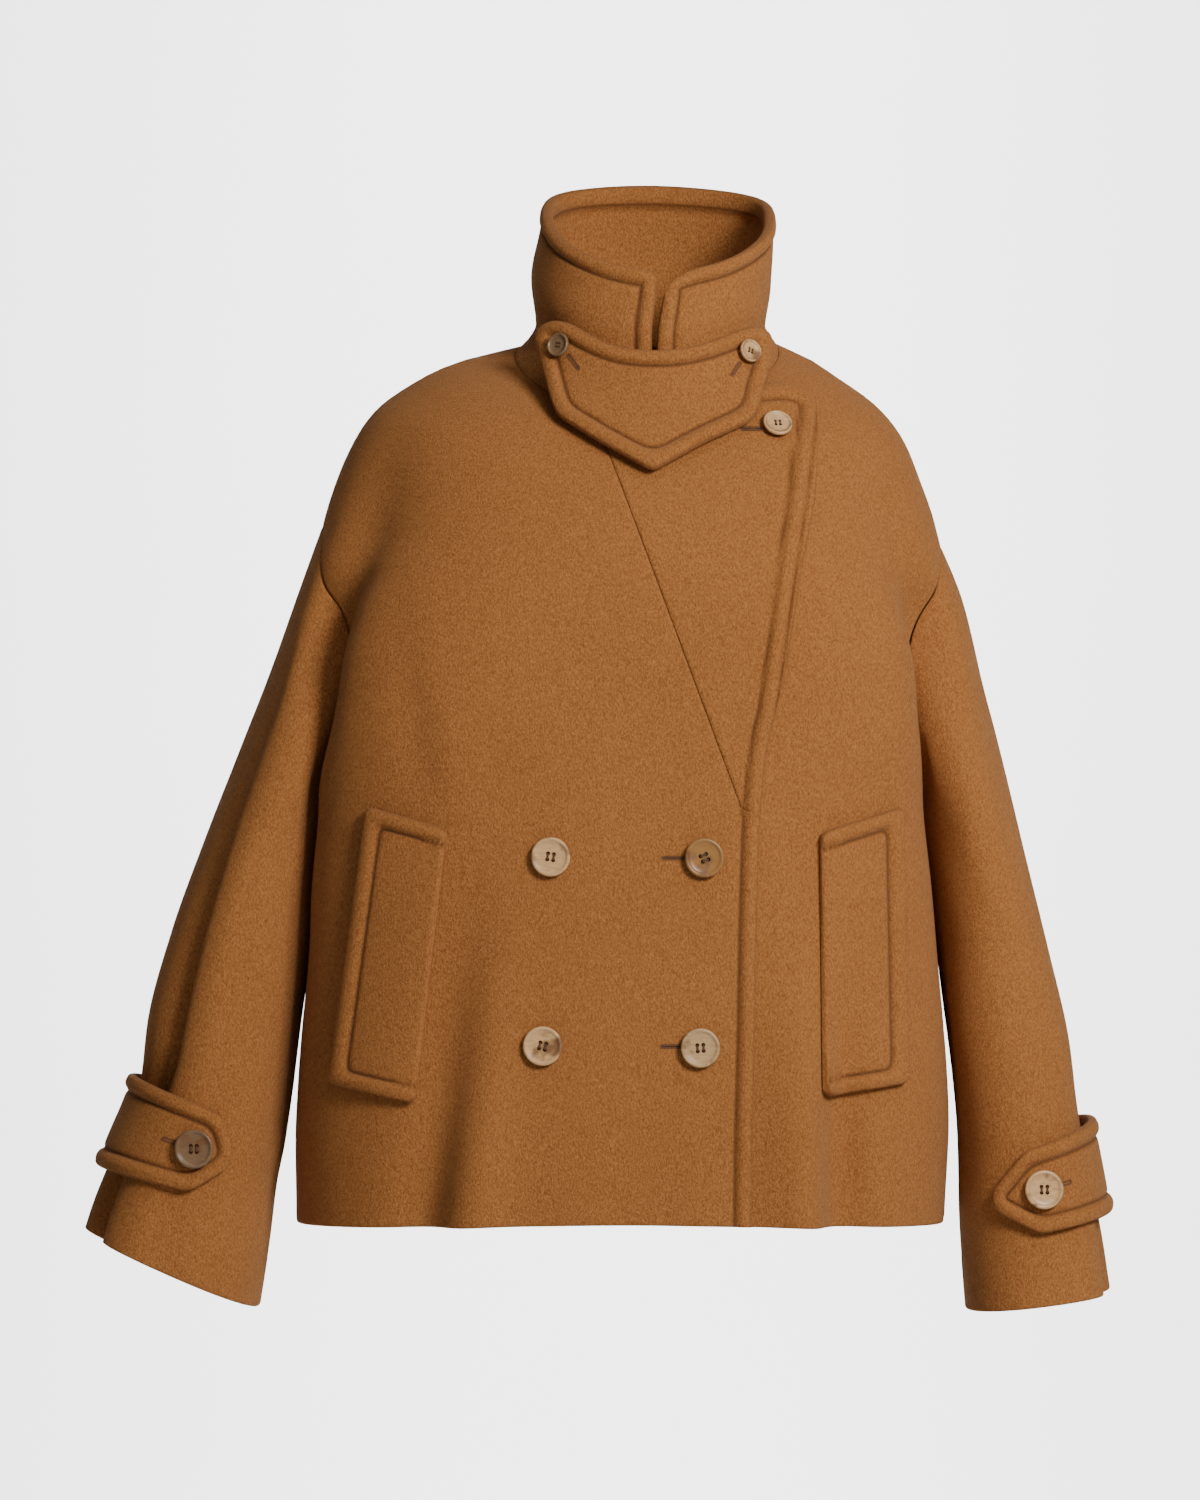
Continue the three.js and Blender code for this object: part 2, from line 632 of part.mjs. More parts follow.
/** Free or seamed edge of the right front, as x by height. */
function rightFrontEdge(z) {
  if (z > LAPEL_SEAM.endZ) {
    return seamX(z);
  }
  const share = (LAPEL_SEAM.endZ - z) / (LAPEL_SEAM.endZ - LAPEL_END.z);
  if (share < 1) {
    return mix(LAPEL_SEAM.endX, LAPEL_END.x, share);
  }
  return frontEdge.at(z, 'x');
}

function leftFrontEdge(z) {
  return mix(UNDER_EDGE.topX, UNDER_EDGE.hemX, (z - UNDER_EDGE.topZ) / (UNDER_EDGE.hemZ - UNDER_EDGE.topZ));
}

const RIGHT_COLUMNS = 14;
const LEFT_COLUMNS = 14;
const BACK_COLUMNS = 18;

function makeRightFront() {
  const rows = sideRows(RIGHT_ARMHOLE);
  const crossRow = rows.findIndex((row) => row.level < LAPEL_SEAM.endZ);
  const outer = [];
  const inner = [];
  rows.forEach((row, i) => {
    const banded = i >= crossRow;
    let edgeSide = row.level;
    if (i === crossRow - 1) {
      edgeSide = LAPEL_SEAM.endZ;
    }
    if (i === crossRow) {
      edgeSide = LAPEL_END.z;
    }
    const seamTrim = banded ? 0 : SEAM_GAP / 2 / lengthPerDegree(0, edgeSide);
    const edgeTurn = crossing(edgeSide, rightFrontEdge) - seamTrim;
    const end = panelEdge(row, 1, -90, RIGHT_ARMHOLE.forward);
    const perDegree = lengthPerDegree(edgeTurn, edgeSide);
    const bandTurn = edgeTurn - BAND_STEPS[BAND_STEPS.length - 1] / perDegree;
    const outerRow = [];
    const innerRow = [];
    for (let k = RIGHT_COLUMNS; k >= 1; k -= 1) {
      const share = k / RIGHT_COLUMNS;
      const turn = mix(bandTurn, end.turn, share);
      const side = mix(edgeSide, end.side, share ** EDGE_PULL);
      outerRow.push(onBody(turn, side, 0));
      innerRow.push(onBody(turn, side, -LAYER));
    }
    for (const distance of [...BAND_STEPS].reverse()) {
      const turn = edgeTurn - distance / perDegree;
      outerRow.push(onBody(turn, edgeSide, banded ? bandRise(distance) : 0));
      innerRow.push(onBody(turn, edgeSide, -LAYER + (banded && distance === 0 ? EDGE_CUT : 0)));
    }
    outer.push(outerRow);
    inner.push(innerRow);
  });
  addCloth('right_front', wall(outer, inner));
}

function makeLeftFront() {
  const outer = [];
  const inner = [];
  for (const row of sideRows(LEFT_ARMHOLE)) {
    const edgeTurn = crossing(row.level, leftFrontEdge);
    const end = panelEdge(row, -1, 90, LEFT_ARMHOLE.forward);
    const outerRow = [];
    const innerRow = [];
    for (let k = 0; k <= LEFT_COLUMNS; k += 1) {
      const share = k / LEFT_COLUMNS;
      const turn = mix(edgeTurn, end.turn, share);
      const side = mix(row.level, end.side, share ** EDGE_PULL);
      outerRow.push(onBody(turn, side, -coverDrop(turn)));
      innerRow.push(onBody(turn, side, -coverDrop(turn) - LAYER));
    }
    outer.push(outerRow);
    inner.push(innerRow);
  }
  addCloth('left_front', wall(outer, inner));
}

function makeBack() {
  const leftRows = sideRows(LEFT_ARMHOLE);
  const rightRows = sideRows(RIGHT_ARMHOLE);
  const outer = [];
  const inner = [];
  leftRows.forEach((leftRow, i) => {
    const rightRow = rightRows[i];
    const left = panelEdge(leftRow, 1, 90, LEFT_ARMHOLE.backward);
    const right = panelEdge(rightRow, -1, 270, RIGHT_ARMHOLE.backward);
    const outerRow = [];
    const innerRow = [];
    for (let k = 0; k <= BACK_COLUMNS; k += 1) {
      const share = k / BACK_COLUMNS;
      const turn = mix(left.turn, right.turn, share);
      const nearSeam = Math.abs(2 * share - 1) ** EDGE_PULL;
      const level = mix(leftRow.level, rightRow.level, share);
      const side = mix(level, mix(left.side, right.side, share), nearSeam);
      outerRow.push(onBody(turn, side, 0));
      innerRow.push(onBody(turn, side, -LAYER));
    }
    outer.push(outerRow);
    inner.push(innerRow);
  });
  addCloth('back', wall(outer, inner));
}

/** One sleeve, from its armhole on the body to its hem. */
class Sleeve {
  constructor(rows, pleat, armhole, direction) {
    this.rows = rows.map((row) => ({ ...row }));
    let along = 0;
    this.rows.forEach((row, k) => {
      if (k > 0) {
        const before = this.rows[k - 1];
        const shiftX = (row.outerX + row.innerX - before.outerX - before.innerX) / 2;
        const shiftZ = (row.outerZ + row.innerZ - before.outerZ - before.innerZ) / 2;
        along += Math.hypot(shiftX, shiftZ);
      }
      row.along = along;
    });
    this.length = along;
    this.curves = new Curves(this.rows, 'along');
    this.pleat = new Curves(pleat, 'share');
    this.armhole = armhole;
    this.direction = direction;
    this.joined = SLEEVE_JOINED;
  }

  /** Point of the plain sleeve: around is 0 on its outer side, 90 in front, 180 at the body. */
  plain(around, along) {
    const at = (name) => this.curves.at(along, name);
    const c = Math.cos(radians(around));
    const s = Math.sin(radians(around));
    const square = at('square');
    const reach = (Math.abs(c) ** square + Math.abs(s) ** square) ** (-1 / square);
    const share = 0.5 + 0.5 * reach * c;
    return new THREE.Vector3(
      mix(at('innerX'), at('outerX'), share),
      at('middleY') - at('depth') * reach * s,
      mix(at('innerZ'), at('outerZ'), share),
    );
  }

  /** Corner of the armhole's seam, on the body's cloth. */
  seamCorner(around) {
    const share = (1 - Math.cos(radians(around))) / 2;
    const side = mix(this.armhole.top, this.armhole.under, share);
    const s = Math.sin(radians(around));
    const swing = s > 0 ? this.armhole.forward : this.armhole.backward;
    return bodyPoint(this.direction * (90 - swing * s), side);
  }

  /** Point of the armhole's seam, on the straight stretch between two corners. */
  seam(around) {
    const span = 180 / ARMHOLE_SPANS;
    const before = Math.floor(around / span + 1e-9);
    const share = around / span - before;
    return this.seamCorner(before * span).lerp(this.seamCorner((before + 1) * span), share);
  }

  /** Point moved out where it would come too near to the body's cloth. */
  clearOfBody(point, along) {
    const gap = CLEAR_OF_BODY * Math.min(1, Math.max(0, along) / CLEAR_FULL);
    let low = SIDE_SPAN.from;
    let high = SIDE_SPAN.to;
    let beside = null;
    for (let step = 0; step < HALVINGS; step += 1) {
      const turn = (low + high) / 2;
      beside = bodyPoint(this.direction * turn, Math.max(HEM, point.z));
      if (beside.y < point.y) {
        low = turn;
      } else {
        high = turn;
      }
    }
    const near = this.direction * (point.x - beside.x) - gap;
    const moved = 0.5 * (near + Math.sqrt(near * near + PRESS_SMOOTHING ** 2)) - near;
    return point.setX(point.x + this.direction * moved * ease(along / CLEAR_START));
  }

  /** Point of the sleeve without its pleat, fitted to the armhole and resting beside the body. */
  smooth(around, along) {
    const point = this.plain(around, along);
    if (along < this.joined) {
      const shift = this.seam(around).sub(this.plain(around, 0));
      point.addScaledVector(shift, 1 - ease(Math.max(0, along) / this.joined));
    }
    const facing = ease((FACING.from - Math.cos(radians(around))) / FACING.over);
    if (facing === 0 || point.z < HEM - BELOW_HEM) {
      return point;
    }
    return point.lerp(this.clearOfBody(point.clone(), along), facing);
  }

  pleatDepth(around, along) {
    const share = along / this.length;
    const turned = ((around + 180) % 360) - 180 - this.pleat.held(share, 'around');
    const width = turned > 0 ? PLEAT_LIP : PLEAT_SLOPE;
    const lip = LIP_RISE * bell(turned - LIP_PLACE, PLEAT_LIP);
    return Math.max(0, this.pleat.held(share, 'depth')) * (bell(turned, width) - lip);
  }

  point(around, along) {
    const point = this.smooth(around, along);
    const out = this.wayOut((a, b) => this.smooth(a, b), around, along);
    return point.addScaledVector(out, -this.pleatDepth(around, along));
  }

  wayOut(surface, around, along) {
    const out = wayOut(surface, around, Math.max(SLEEVE_STEPS[1], along), ...SLEEVE_STEPS);
    return out.multiplyScalar(this.direction < 0 ? -1 : 1);
  }

  lifted(around, along, lift) {
    const out = this.wayOut((a, b) => this.point(a, b), around, along);
    return this.point(around, along).addScaledVector(out, lift);
  }

  strapPoint(around, along, lift) {
    const out = this.wayOut((a, b) => this.smooth(a, b), around, along);
    return this.smooth(around, along).addScaledVector(out, lift);
  }
}

const rightSleeve = new Sleeve(RIGHT_SLEEVE, RIGHT_PLEAT, RIGHT_ARMHOLE, -1);
const leftSleeve = new Sleeve(LEFT_SLEEVE, LEFT_PLEAT, LEFT_ARMHOLE, 1);
const SLEEVE_SPANS = 16;
const SLEEVE_SPREAD = 1.1;
const PLEAT_COLUMNS = [-12, -6, 0, 6, 12];
const MORE_COLUMNS = [70, 110, 150, 210, 250, 290];
const COLUMNS_APART = 2.5;

/** Places round a sleeve: the corners of the armhole's seam, and more of them at the pleat. */
function sleeveColumns(pleatAround) {
  const span = 180 / ARMHOLE_SPANS;
  const corners = Array.from({ length: 2 * ARMHOLE_SPANS }, (_, k) => k * span);
  const between = [...PLEAT_COLUMNS.map((offset) => offset + pleatAround), ...MORE_COLUMNS]
    .map((around) => (around + 360) % 360)
    .filter((around) => corners.every((corner) => Math.abs(corner - around) > COLUMNS_APART));
  return [...corners, ...between].sort((a, b) => a - b);
}

function makeSleeve(name, sleeve, pleatAround) {
  const columns = sleeveColumns(pleatAround);
  const outer = [];
  const inner = [];
  for (let i = 0; i <= SLEEVE_SPANS; i += 1) {
    const along = mix(SEAM_GAP / 2, sleeve.length, (i / SLEEVE_SPANS) ** SLEEVE_SPREAD);
    outer.push(columns.map((around) => sleeve.lifted(around, along, 0)));
    inner.push(columns.map((around) => sleeve.lifted(around, along, -LAYER)));
  }
  addCloth(name, wall(outer, inner, true));
}

const COLLAR_COLUMNS = 26;
const COLLAR_SPANS = 4;
const COLLAR_RADIUS = 88;
const CORNER_DROP = 0.8;
const COLLAR_EDGE_CUT = 1.7;

function neckSurface(turn, side) {
  return neck.spot(turn, side).point;
}

function makeCollar() {
  const foot = COLLAR_LOOPS[0].side;
  const rim = COLLAR_LOOPS[COLLAR_LOOPS.length - 1].side;
  const reach = COLLAR_LOOPS[0].front;
  const height = rim - foot;
  const middle = degrees((COLLAR_SLIT.centreX - COLLAR_LOOPS[0].centre) / reach);
  const columns = [];
  const bandSpan = BAND_STEPS[BAND_STEPS.length - 1];
  const round = 2 * Math.PI * COLLAR_RADIUS - 2 * bandSpan;
  for (const distance of BAND_STEPS) {
    columns.push({ distance, share: 0 });
  }
  for (let k = 1; k < COLLAR_COLUMNS; k += 1) {
    const share = k / COLLAR_COLUMNS;
    columns.push({ distance: bandSpan + Math.min(share, 1 - share) * round, share });
  }
  for (const distance of [...BAND_STEPS].reverse()) {
    columns.push({ distance, share: 1 });
  }
  const rows = [...BAND_STEPS];
  for (let k = 1; k <= COLLAR_SPANS; k += 1) {
    rows.push(mix(bandSpan, height - SEAM_GAP, k / COLLAR_SPANS));
  }
  const outer = [];
  const inner = [];
  for (const drop of rows) {
    const outerRow = [];
    const innerRow = [];
    for (const { distance, share } of columns) {
      const corner = share < 0.5 ? COLLAR_SLIT.leftCorner : COLLAR_SLIT.rightCorner;
      const edge = Math.max(0, corner - distance);
      const cut = corner - Math.sqrt(Math.max(0, corner ** 2 - edge ** 2));
      const full = (height - SEAM_GAP - cut * CORNER_DROP) / (height - SEAM_GAP);
      const side = foot + SEAM_GAP + (height - SEAM_GAP - drop) * full;
      const slit = mix(COLLAR_SLIT.foot, COLLAR_SLIT.rim, (side - foot) / height);
      const slitTurn = degrees(slit / reach);
      const bandTurn = degrees(Math.min(distance, bandSpan) / reach);
      const start = middle + slitTurn + bandTurn;
      const end = middle + 360 - slitTurn - bandTurn;
      const turn = mix(start, end, share);
      const nearest = Math.min(drop + cut * (1 - CORNER_DROP), distance);
      const out = wayOut(neckSurface, turn, side, ...LOOP_STEPS);
      const rise = bandRise(nearest);
      outerRow.push(neckSurface(turn, side).addScaledVector(out, rise));
      const edgeCut = nearest < BAND_STEPS[1] ? COLLAR_EDGE_CUT : 0;
      innerRow.push(neckSurface(turn, side).addScaledVector(out, edgeCut - DOUBLED));
    }
    outer.push(outerRow);
    inner.push(innerRow);
  }
  addCloth('collar', wall(outer, inner));
}

const SHARPEST = 0.3;

/** Outline moved inwards by a distance, corner by corner. */
function insetOutline(outline, distance) {
  const area = outline.reduce((sum, p, k) => {
    const q = outline[(k + 1) % outline.length];
    return sum + p.x * q.y - q.x * p.y;
  }, 0);
  const inward = Math.sign(area);
  return outline.map((corner, k) => {
    const before = outline[(k + outline.length - 1) % outline.length];
    const after = outline[(k + 1) % outline.length];
    const arriving = corner.clone().sub(before).normalize();
    const leaving = after.clone().sub(corner).normalize();
    const first = new THREE.Vector2(-arriving.y, arriving.x).multiplyScalar(inward);
    const second = new THREE.Vector2(-leaving.y, leaving.x).multiplyScalar(inward);
    const halfway = first.clone().add(second).normalize();
    return corner.clone().addScaledVector(halfway, distance / Math.max(SHARPEST, halfway.dot(first)));
  });
}

/** Distance from a flat point to the nearest side of an outline that has a rolled edge. */
function distanceToBand(point, outline, banded) {
  let nearest = Infinity;
  outline.forEach((corner, k) => {
    if (!banded[k]) {
      return;
    }
    const next = outline[(k + 1) % outline.length];
    const side = next.clone().sub(corner);
    const share = Math.min(1, Math.max(0, point.clone().sub(corner).dot(side) / side.lengthSq()));
    nearest = Math.min(nearest, point.distanceTo(corner.clone().addScaledVector(side, share)));
  });
  return nearest;
}

/** Flat points of the inside of a ring with so many facets across and down, by its edges. */
function fillRing(ring, across, down) {
  const top = (j) => ring[j];
  const right = (i) => ring[across + i];
  const bottom = (j) => ring[across + down + (across - j)];
  const left = (i) => ring[(2 * across + down + (down - i)) % ring.length];
  const points = [];
  for (let i = 1; i < down; i += 1) {
    for (let j = 1; j < across; j += 1) {
      const u = j / across;
      const v = i / down;
      const sides = left(i).clone().lerp(right(i), u).add(top(j).clone().lerp(bottom(j), v));
      const low = bottom(0).clone().lerp(bottom(across), u);
      const corners = top(0).clone().lerp(top(across), u).lerp(low, v);
      points.push(sides.sub(corners));
    }
  }
  return points;
}

/**
 * Doubled piece cut to a flat outline and laid on a surface. The place function takes a flat
 * point and a lift. Rings of points follow the outline inwards, and a grid fills the last one.
 */
function laidPiece(outline, place, scale = 1, thickness = DOUBLED) {
  const corners = outline.map((row) => flat(row.x * scale, row.z));
  const banded = outline.map((row) => row.band);
  const starts = outline.map((row, k) => (row.corner ? k : -1)).filter((k) => k >= 0);
  const facets = (from, to) => outline.slice(from, to).reduce((sum, row) => sum + row.cuts, 0);
  const across = facets(starts[0], starts[1]);
  const down = facets(starts[1], starts[2]);
  const rings = BAND_STEPS.map((distance) => {
    const inset = insetOutline(corners, distance);
    return inset.flatMap((corner, k) => {
      const next = inset[(k + 1) % inset.length];
      const { cuts } = outline[k];
      return Array.from({ length: cuts }, (_, m) => corner.clone().lerp(next, m / cuts));
    });
  });
  const around = rings[0].length;
  const lastRing = rings[rings.length - 1];
  const points = [...rings.flat(), ...fillRing(lastRing, across, down)];
  const outer = points.map((point, k) => {
    const distance = distanceToBand(point, corners, banded);
    const plainEdge = k < around && distance > BAND;
    return place(point, LAID_GAP + thickness + (plainEdge ? -SEWN_DROP : bandRise(distance)));
  });
  const inner = points.map((point, k) => place(point, LAID_GAP + (k < around ? EDGE_CUT : 0)));
  const sheet = points.length;
  const triangles = [];
  const quad = (a, b, c, d) => {
    triangles.push([a, b, c], [a, c, d]);
    triangles.push([sheet + a, sheet + c, sheet + b], [sheet + a, sheet + d, sheet + c]);
  };
  for (let ring = 0; ring < rings.length - 1; ring += 1) {
    for (let k = 0; k < around; k += 1) {
      const a = ring * around + k;
      const b = ring * around + ((k + 1) % around);
      quad(a, b, b + around, a + around);
    }
  }
  const first = (rings.length - 1) * around;
  const gridIndex = (i, j) => {
    if (i === 0) {
      return first + j;
    }
    if (j === across) {
      return first + across + i;
    }
    if (i === down) {
      return first + across + down + (across - j);
    }
    if (j === 0) {
      return first + 2 * across + down + (down - i);
    }
    return rings.length * around + (i - 1) * (across - 1) + (j - 1);
  };
  for (let i = 0; i < down; i += 1) {
    for (let j = 0; j < across; j += 1) {
      quad(gridIndex(i, j), gridIndex(i, j + 1), gridIndex(i + 1, j + 1), gridIndex(i + 1, j));
    }
  }
  for (let k = 0; k < around; k += 1) {
    const next = (k + 1) % around;
    triangles.push([k, sheet + k, sheet + next], [k, sheet + next, next]);
  }
  return closedSolid([...outer, ...inner], triangles);
}

function flat(x, y) {
  return new THREE.Vector2(x, y);
}

/** Flat point at a share of the length of a line of points. */
function pointAlong(line, share) {
  const lengths = line.slice(1).map((point, k) => point.distanceTo(line[k]));
  let left = share * lengths.reduce((sum, length) => sum + length, 0);
  let k = 0;
  while (k < lengths.length - 1 && left > lengths[k]) {
    left -= lengths[k];
    k += 1;
  }
  return line[k].clone().lerp(line[k + 1], left / lengths[k]);
}

const LAPEL_TOP = [
  { x: 74, z: -31.7 },
  { x: 95, z: -29 },
  { x: 107, z: -31 },
  { x: 114, z: -37.5 },
];
const NECKLINE_SHARES = [0.25, 0.5, 0.75];
const NECKLINE_TURN = 53;
const TOP_BOW = 3;
const LAPEL_LOWERED = 0.1;
const NARROWEST = 1;
const LAPEL_BELOW_NECK = 1.2;
const LAPEL_COLUMNS = 8;
const LAPEL_ROWS = 12;

function makeLapel() {
  const foot = BODY_LOOPS[0].side;
  const startTurn = crossing(foot, seamX);
  const start = bodyPoint(startTurn, foot);
  const neckline = NECKLINE_SHARES.map((share) => bodyPoint(mix(startTurn, NECKLINE_TURN, share), foot));
  const top = [start, ...neckline].map((point) => flat(point.x, point.z - LAPEL_BELOW_NECK));
  top[0].x = seamX(top[0].y) + SEAM_GAP;
  const lapelTop = LAPEL_TOP.map((corner) => flat(corner.x, corner.z));
  top.push(...lapelTop);
  const seam = [top[0], flat(LAPEL_SEAM.endX + SEAM_GAP, LAPEL_SEAM.endZ)];
  const above = FRONT_EDGE.filter((row) => row.height > LAPEL_END.z);
  const edge = above.map((row) => flat(row.x, row.height));
  edge.unshift(lapelTop[lapelTop.length - 1]);
  edge.push(flat(LAPEL_END.x, LAPEL_END.z + 2 * SEAM_GAP));
  const outline = [...lapelTop, ...edge.slice(1)];
  const banded = outline.map((_, k) => k < outline.length - 1);
  const length = seam[0].distanceTo(seam[1]);
  const bandSpan = BAND_STEPS[BAND_STEPS.length - 1];
  const drops = [...BAND_STEPS];
  for (let k = 1; k <= LAPEL_ROWS; k += 1) {
    drops.push(mix(bandSpan, length, k / LAPEL_ROWS));
  }
  const outer = [];
  const inner = [];
  for (const drop of drops) {
    const share = drop / length;
    const left = pointAlong(seam, share);
    const right = pointAlong(edge, share);
    const width = left.distanceTo(right);
    const squeeze = Math.min(1, (width - NARROWEST) / bandSpan);
    const places = [];
    for (let k = 0; k < LAPEL_COLUMNS; k += 1) {
      places.push(mix(0, 1 - (bandSpan * squeeze) / width, k / LAPEL_COLUMNS));
    }
    for (const step of [...BAND_STEPS].reverse()) {
      places.push(1 - (step * squeeze) / width);
    }
    const outerRow = [];
    const innerRow = [];
    for (const place of places) {
      const straight = left.clone().lerp(right, place);
      const bow = pointAlong(top, place).sub(top[0].clone().lerp(top[top.length - 1], place));
      const point = straight.addScaledVector(bow, (1 - share) ** TOP_BOW);
      const distance = distanceToBand(point, outline, banded);
      const atEdge = distance < LAPEL_LOWERED;
      const face = LAID_GAP + LAYER - LAPEL_LOWERED + bandRise(distance);
      outerRow.push(overLeftFront(point.x, point.y, face));
      innerRow.push(overLeftFront(point.x, point.y, LAID_GAP + (atEdge ? EDGE_CUT : 0)));
    }
    outer.push(outerRow);
    inner.push(innerRow);
  }
  addCloth('right_lapel', wall(outer, inner));
}

const THROAT_APPROACHES = 7;
const THROAT_HALVINGS = 26;
const CHEST_BELOW = -260;
const LEAST_BEND = 1e-6;
const tabShape = new Curves(TAB_SHAPE, 'height');

/** Point of the stiff throat tab's underside, on the collar's foot above and over the fronts below. */
function throatPoint(turn, height) {
  const { centre } = COLLAR_LOOPS[2];
  const reachOf = (surface, lowest, highest) => {
    let own = turn;
    let point = null;
    for (let step = 0; step < THROAT_APPROACHES; step += 1) {
      let low = lowest;
      let high = highest;
      let side = low;
      for (let k = 0; k < THROAT_HALVINGS; k += 1) {
        side = (low + high) / 2;
        point = surface(own, side);
        if (point.z < height) {
          low = side;
        } else {
          high = side;
        }
      }
      own += turn - degrees(Math.atan2(point.x - centre, -point.y));
    }
    return Math.hypot(point.x - centre, point.y);
  };
  const foot = COLLAR_LOOPS[0].side;
  const onNeck = reachOf(neckSurface, foot, COLLAR_LOOPS[COLLAR_LOOPS.length - 1].side);
  const onChest = reachOf(bodyPoint, CHEST_BELOW, foot);
  const s = Math.sin(radians(turn));
  const c = Math.cos(radians(turn));
  const fitted = Math.max(onNeck, onChest);
  const bend = tabShape.held(height, 'bend') * Math.max(LEAST_BEND, s * s);
  const hung = (Math.sqrt(c * c + 4 * tabShape.held(height, 'reach') * bend) - c) / (2 * bend);
  const reach = 0.5 * (fitted + hung + Math.hypot(fitted - hung, TAB_SMOOTHING));
  return new THREE.Vector3(centre + reach * s, -reach * c, height);
}

/** Point over the tab's underside where it is seen at x and z. */
function onThroat(x, z, lift) {
  const aside = x - COLLAR_LOOPS[2].centre;
  let turn = degrees(Math.atan2(aside, TAB_SHAPE[4].reach));
  for (let step = 0; step < APPROACHES; step += 1) {
    turn = (turn + degrees(Math.atan2(aside, -throatPoint(turn, z).y))) / 2;
  }
  return throatPoint(turn, z).addScaledVector(wayOut(throatPoint, turn, z, ...THROAT_STEPS), lift);
}

function makeTab() {
  addCloth('throat_tab', laidPiece(TAB_OUTLINE, (point, lift) => onThroat(point.x, point.y, lift)));
}

function makeWelt(name, outline, surface) {
  addCloth(name, laidPiece(outline, (point, lift) => surface(point.x, point.y, lift + WELT_RISE)));
}

/** Place function of a strap round a sleeve: flat points are degrees round it and up it. */
function strapPlace(sleeve, strap) {
  return (point, lift) => {
    const around = point.x / STRAP_SCALE;
    const along = strap.middle * sleeve.length - point.y + strap.tilt * Math.sin(radians(around));
    return sleeve.strapPoint(around, along, lift + STRAP_RISE);
  };
}

function makeStrap(name, sleeve, strap) {
  const half = STRAP_WIDTH / 2;
  const outline = [
    { x: strap.back, z: half, band: true, cuts: 12, corner: true },
    { x: strap.upper, z: half, band: true, cuts: 1, corner: true },
    { x: strap.tip, z: STRAP_TIP, band: true, cuts: 1 },
    { x: strap.tip, z: -STRAP_TIP, band: true, cuts: 1 },
    { x: strap.lower, z: -half, band: true, cuts: 12, corner: true },
    { x: strap.back, z: -half, band: false, cuts: 3, corner: true },
  ];
  addCloth(name, laidPiece(outline, strapPlace(sleeve, strap), STRAP_SCALE));
}

// A button's stem, underside and rim by shares of its radius, and its bevels and hollow
const STEM_SHARE = 0.2;
const UNDERSIDE_SHARE = 0.82;
const RIM_SHARE = 0.91;
const HOLLOW_SHARE = 0.7;
const UNDER_BEVEL = 1.5;
const UPPER_BEVEL = 0.9;
const HOLLOW_EDGE = 1.4;
const HOLLOW = 1.7;

/** Button with a raised rim on its thread stem, set on a spot and facing a way. */
function addButton(name, diameter, spot, facing, colour) {
  const radius = diameter / 2;
  const top = BUTTON_STAND + BUTTON_THICKNESS;
  const profile = [
    flat(0, 0),
    flat(radius * STEM_SHARE, 0),
    flat(radius * STEM_SHARE, BUTTON_STAND),
    flat(radius * UNDERSIDE_SHARE, BUTTON_STAND),
    flat(radius, BUTTON_STAND + UNDER_BEVEL),
    flat(radius, top - UPPER_BEVEL),
    flat(radius * RIM_SHARE, top),
    flat(radius * HOLLOW_SHARE, top - HOLLOW_EDGE),
    flat(0, top - HOLLOW),
  ];
  const mesh = addPiece(name, new THREE.LatheGeometry(profile, BUTTON_SIDES), colour, 0.3);
  mesh.position.copy(spot);
  mesh.quaternion.setFromUnitVectors(new THREE.Vector3(0, 1, 0), facing);
}

/** Button set on a piece whose place function takes a flat point and a lift. */
function addButtonOn(name, diameter, place, point, lift, colour) {
  const spot = place(point, lift + SEAM_GAP);
  const facing = place(point, lift + SEAM_GAP + 1).sub(spot).normalize();
  addButton(name, diameter, spot, facing, colour);
}

makeBack();
makeRightFront();
makeLapel();
makeLeftFront();
makeSleeve('right_sleeve', rightSleeve, RIGHT_PLEAT[2].around);
makeSleeve('left_sleeve', leftSleeve, LEFT_PLEAT[3].around);
makeCollar();
makeTab();
makeWelt('right_pocket_welt', RIGHT_WELT, onFront);
makeWelt('left_pocket_welt', LEFT_WELT, overLeftFront);
makeStrap('right_cuff_strap', rightSleeve, RIGHT_STRAP);
makeStrap('left_cuff_strap', leftSleeve, LEFT_STRAP);

for (const button of FRONT_BUTTONS) {
  const colour = button.name === 'front_button_upper_left' ? AMBER_HORN : HORN;
  const place = (point, lift) => onFront(point.x, point.y, lift);
  addButtonOn(button.name, COAT_BUTTON, place, flat(button.x, button.z), 0, colour);
}
const lapelPlace = (point, lift) => overLeftFront(point.x, point.y, lift);
const lapelFace = LAID_GAP + LAYER;
const lapelSpot = flat(LAPEL_BUTTON_SPOT.x, LAPEL_BUTTON_SPOT.z);
addButtonOn('lapel_button', LAPEL_BUTTON, lapelPlace, lapelSpot, lapelFace, HORN);
const laidFace = LAID_GAP + DOUBLED;
for (const button of TAB_BUTTON_SPOTS) {
  const place = (point, lift) => onThroat(point.x, point.y, lift);
  addButtonOn(button.name, TAB_BUTTON, place, flat(button.x, button.z), laidFace, HORN);
}
for (const [name, sleeve, strap] of [
  ['cuff_button_right', rightSleeve, RIGHT_STRAP],
  ['cuff_button_left', leftSleeve, LEFT_STRAP],
]) {
  const spot = flat(strap.button * STRAP_SCALE, 0);
  addButtonOn(name, COAT_BUTTON, strapPlace(sleeve, strap), spot, laidFace, HORN);
}

export default group;
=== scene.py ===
import logging
import math
from dataclasses import dataclass, field
from enum import Enum
from typing import Any, Callable, Sequence

import bmesh
import bpy
import numpy as np
from mathutils import Matrix, Vector

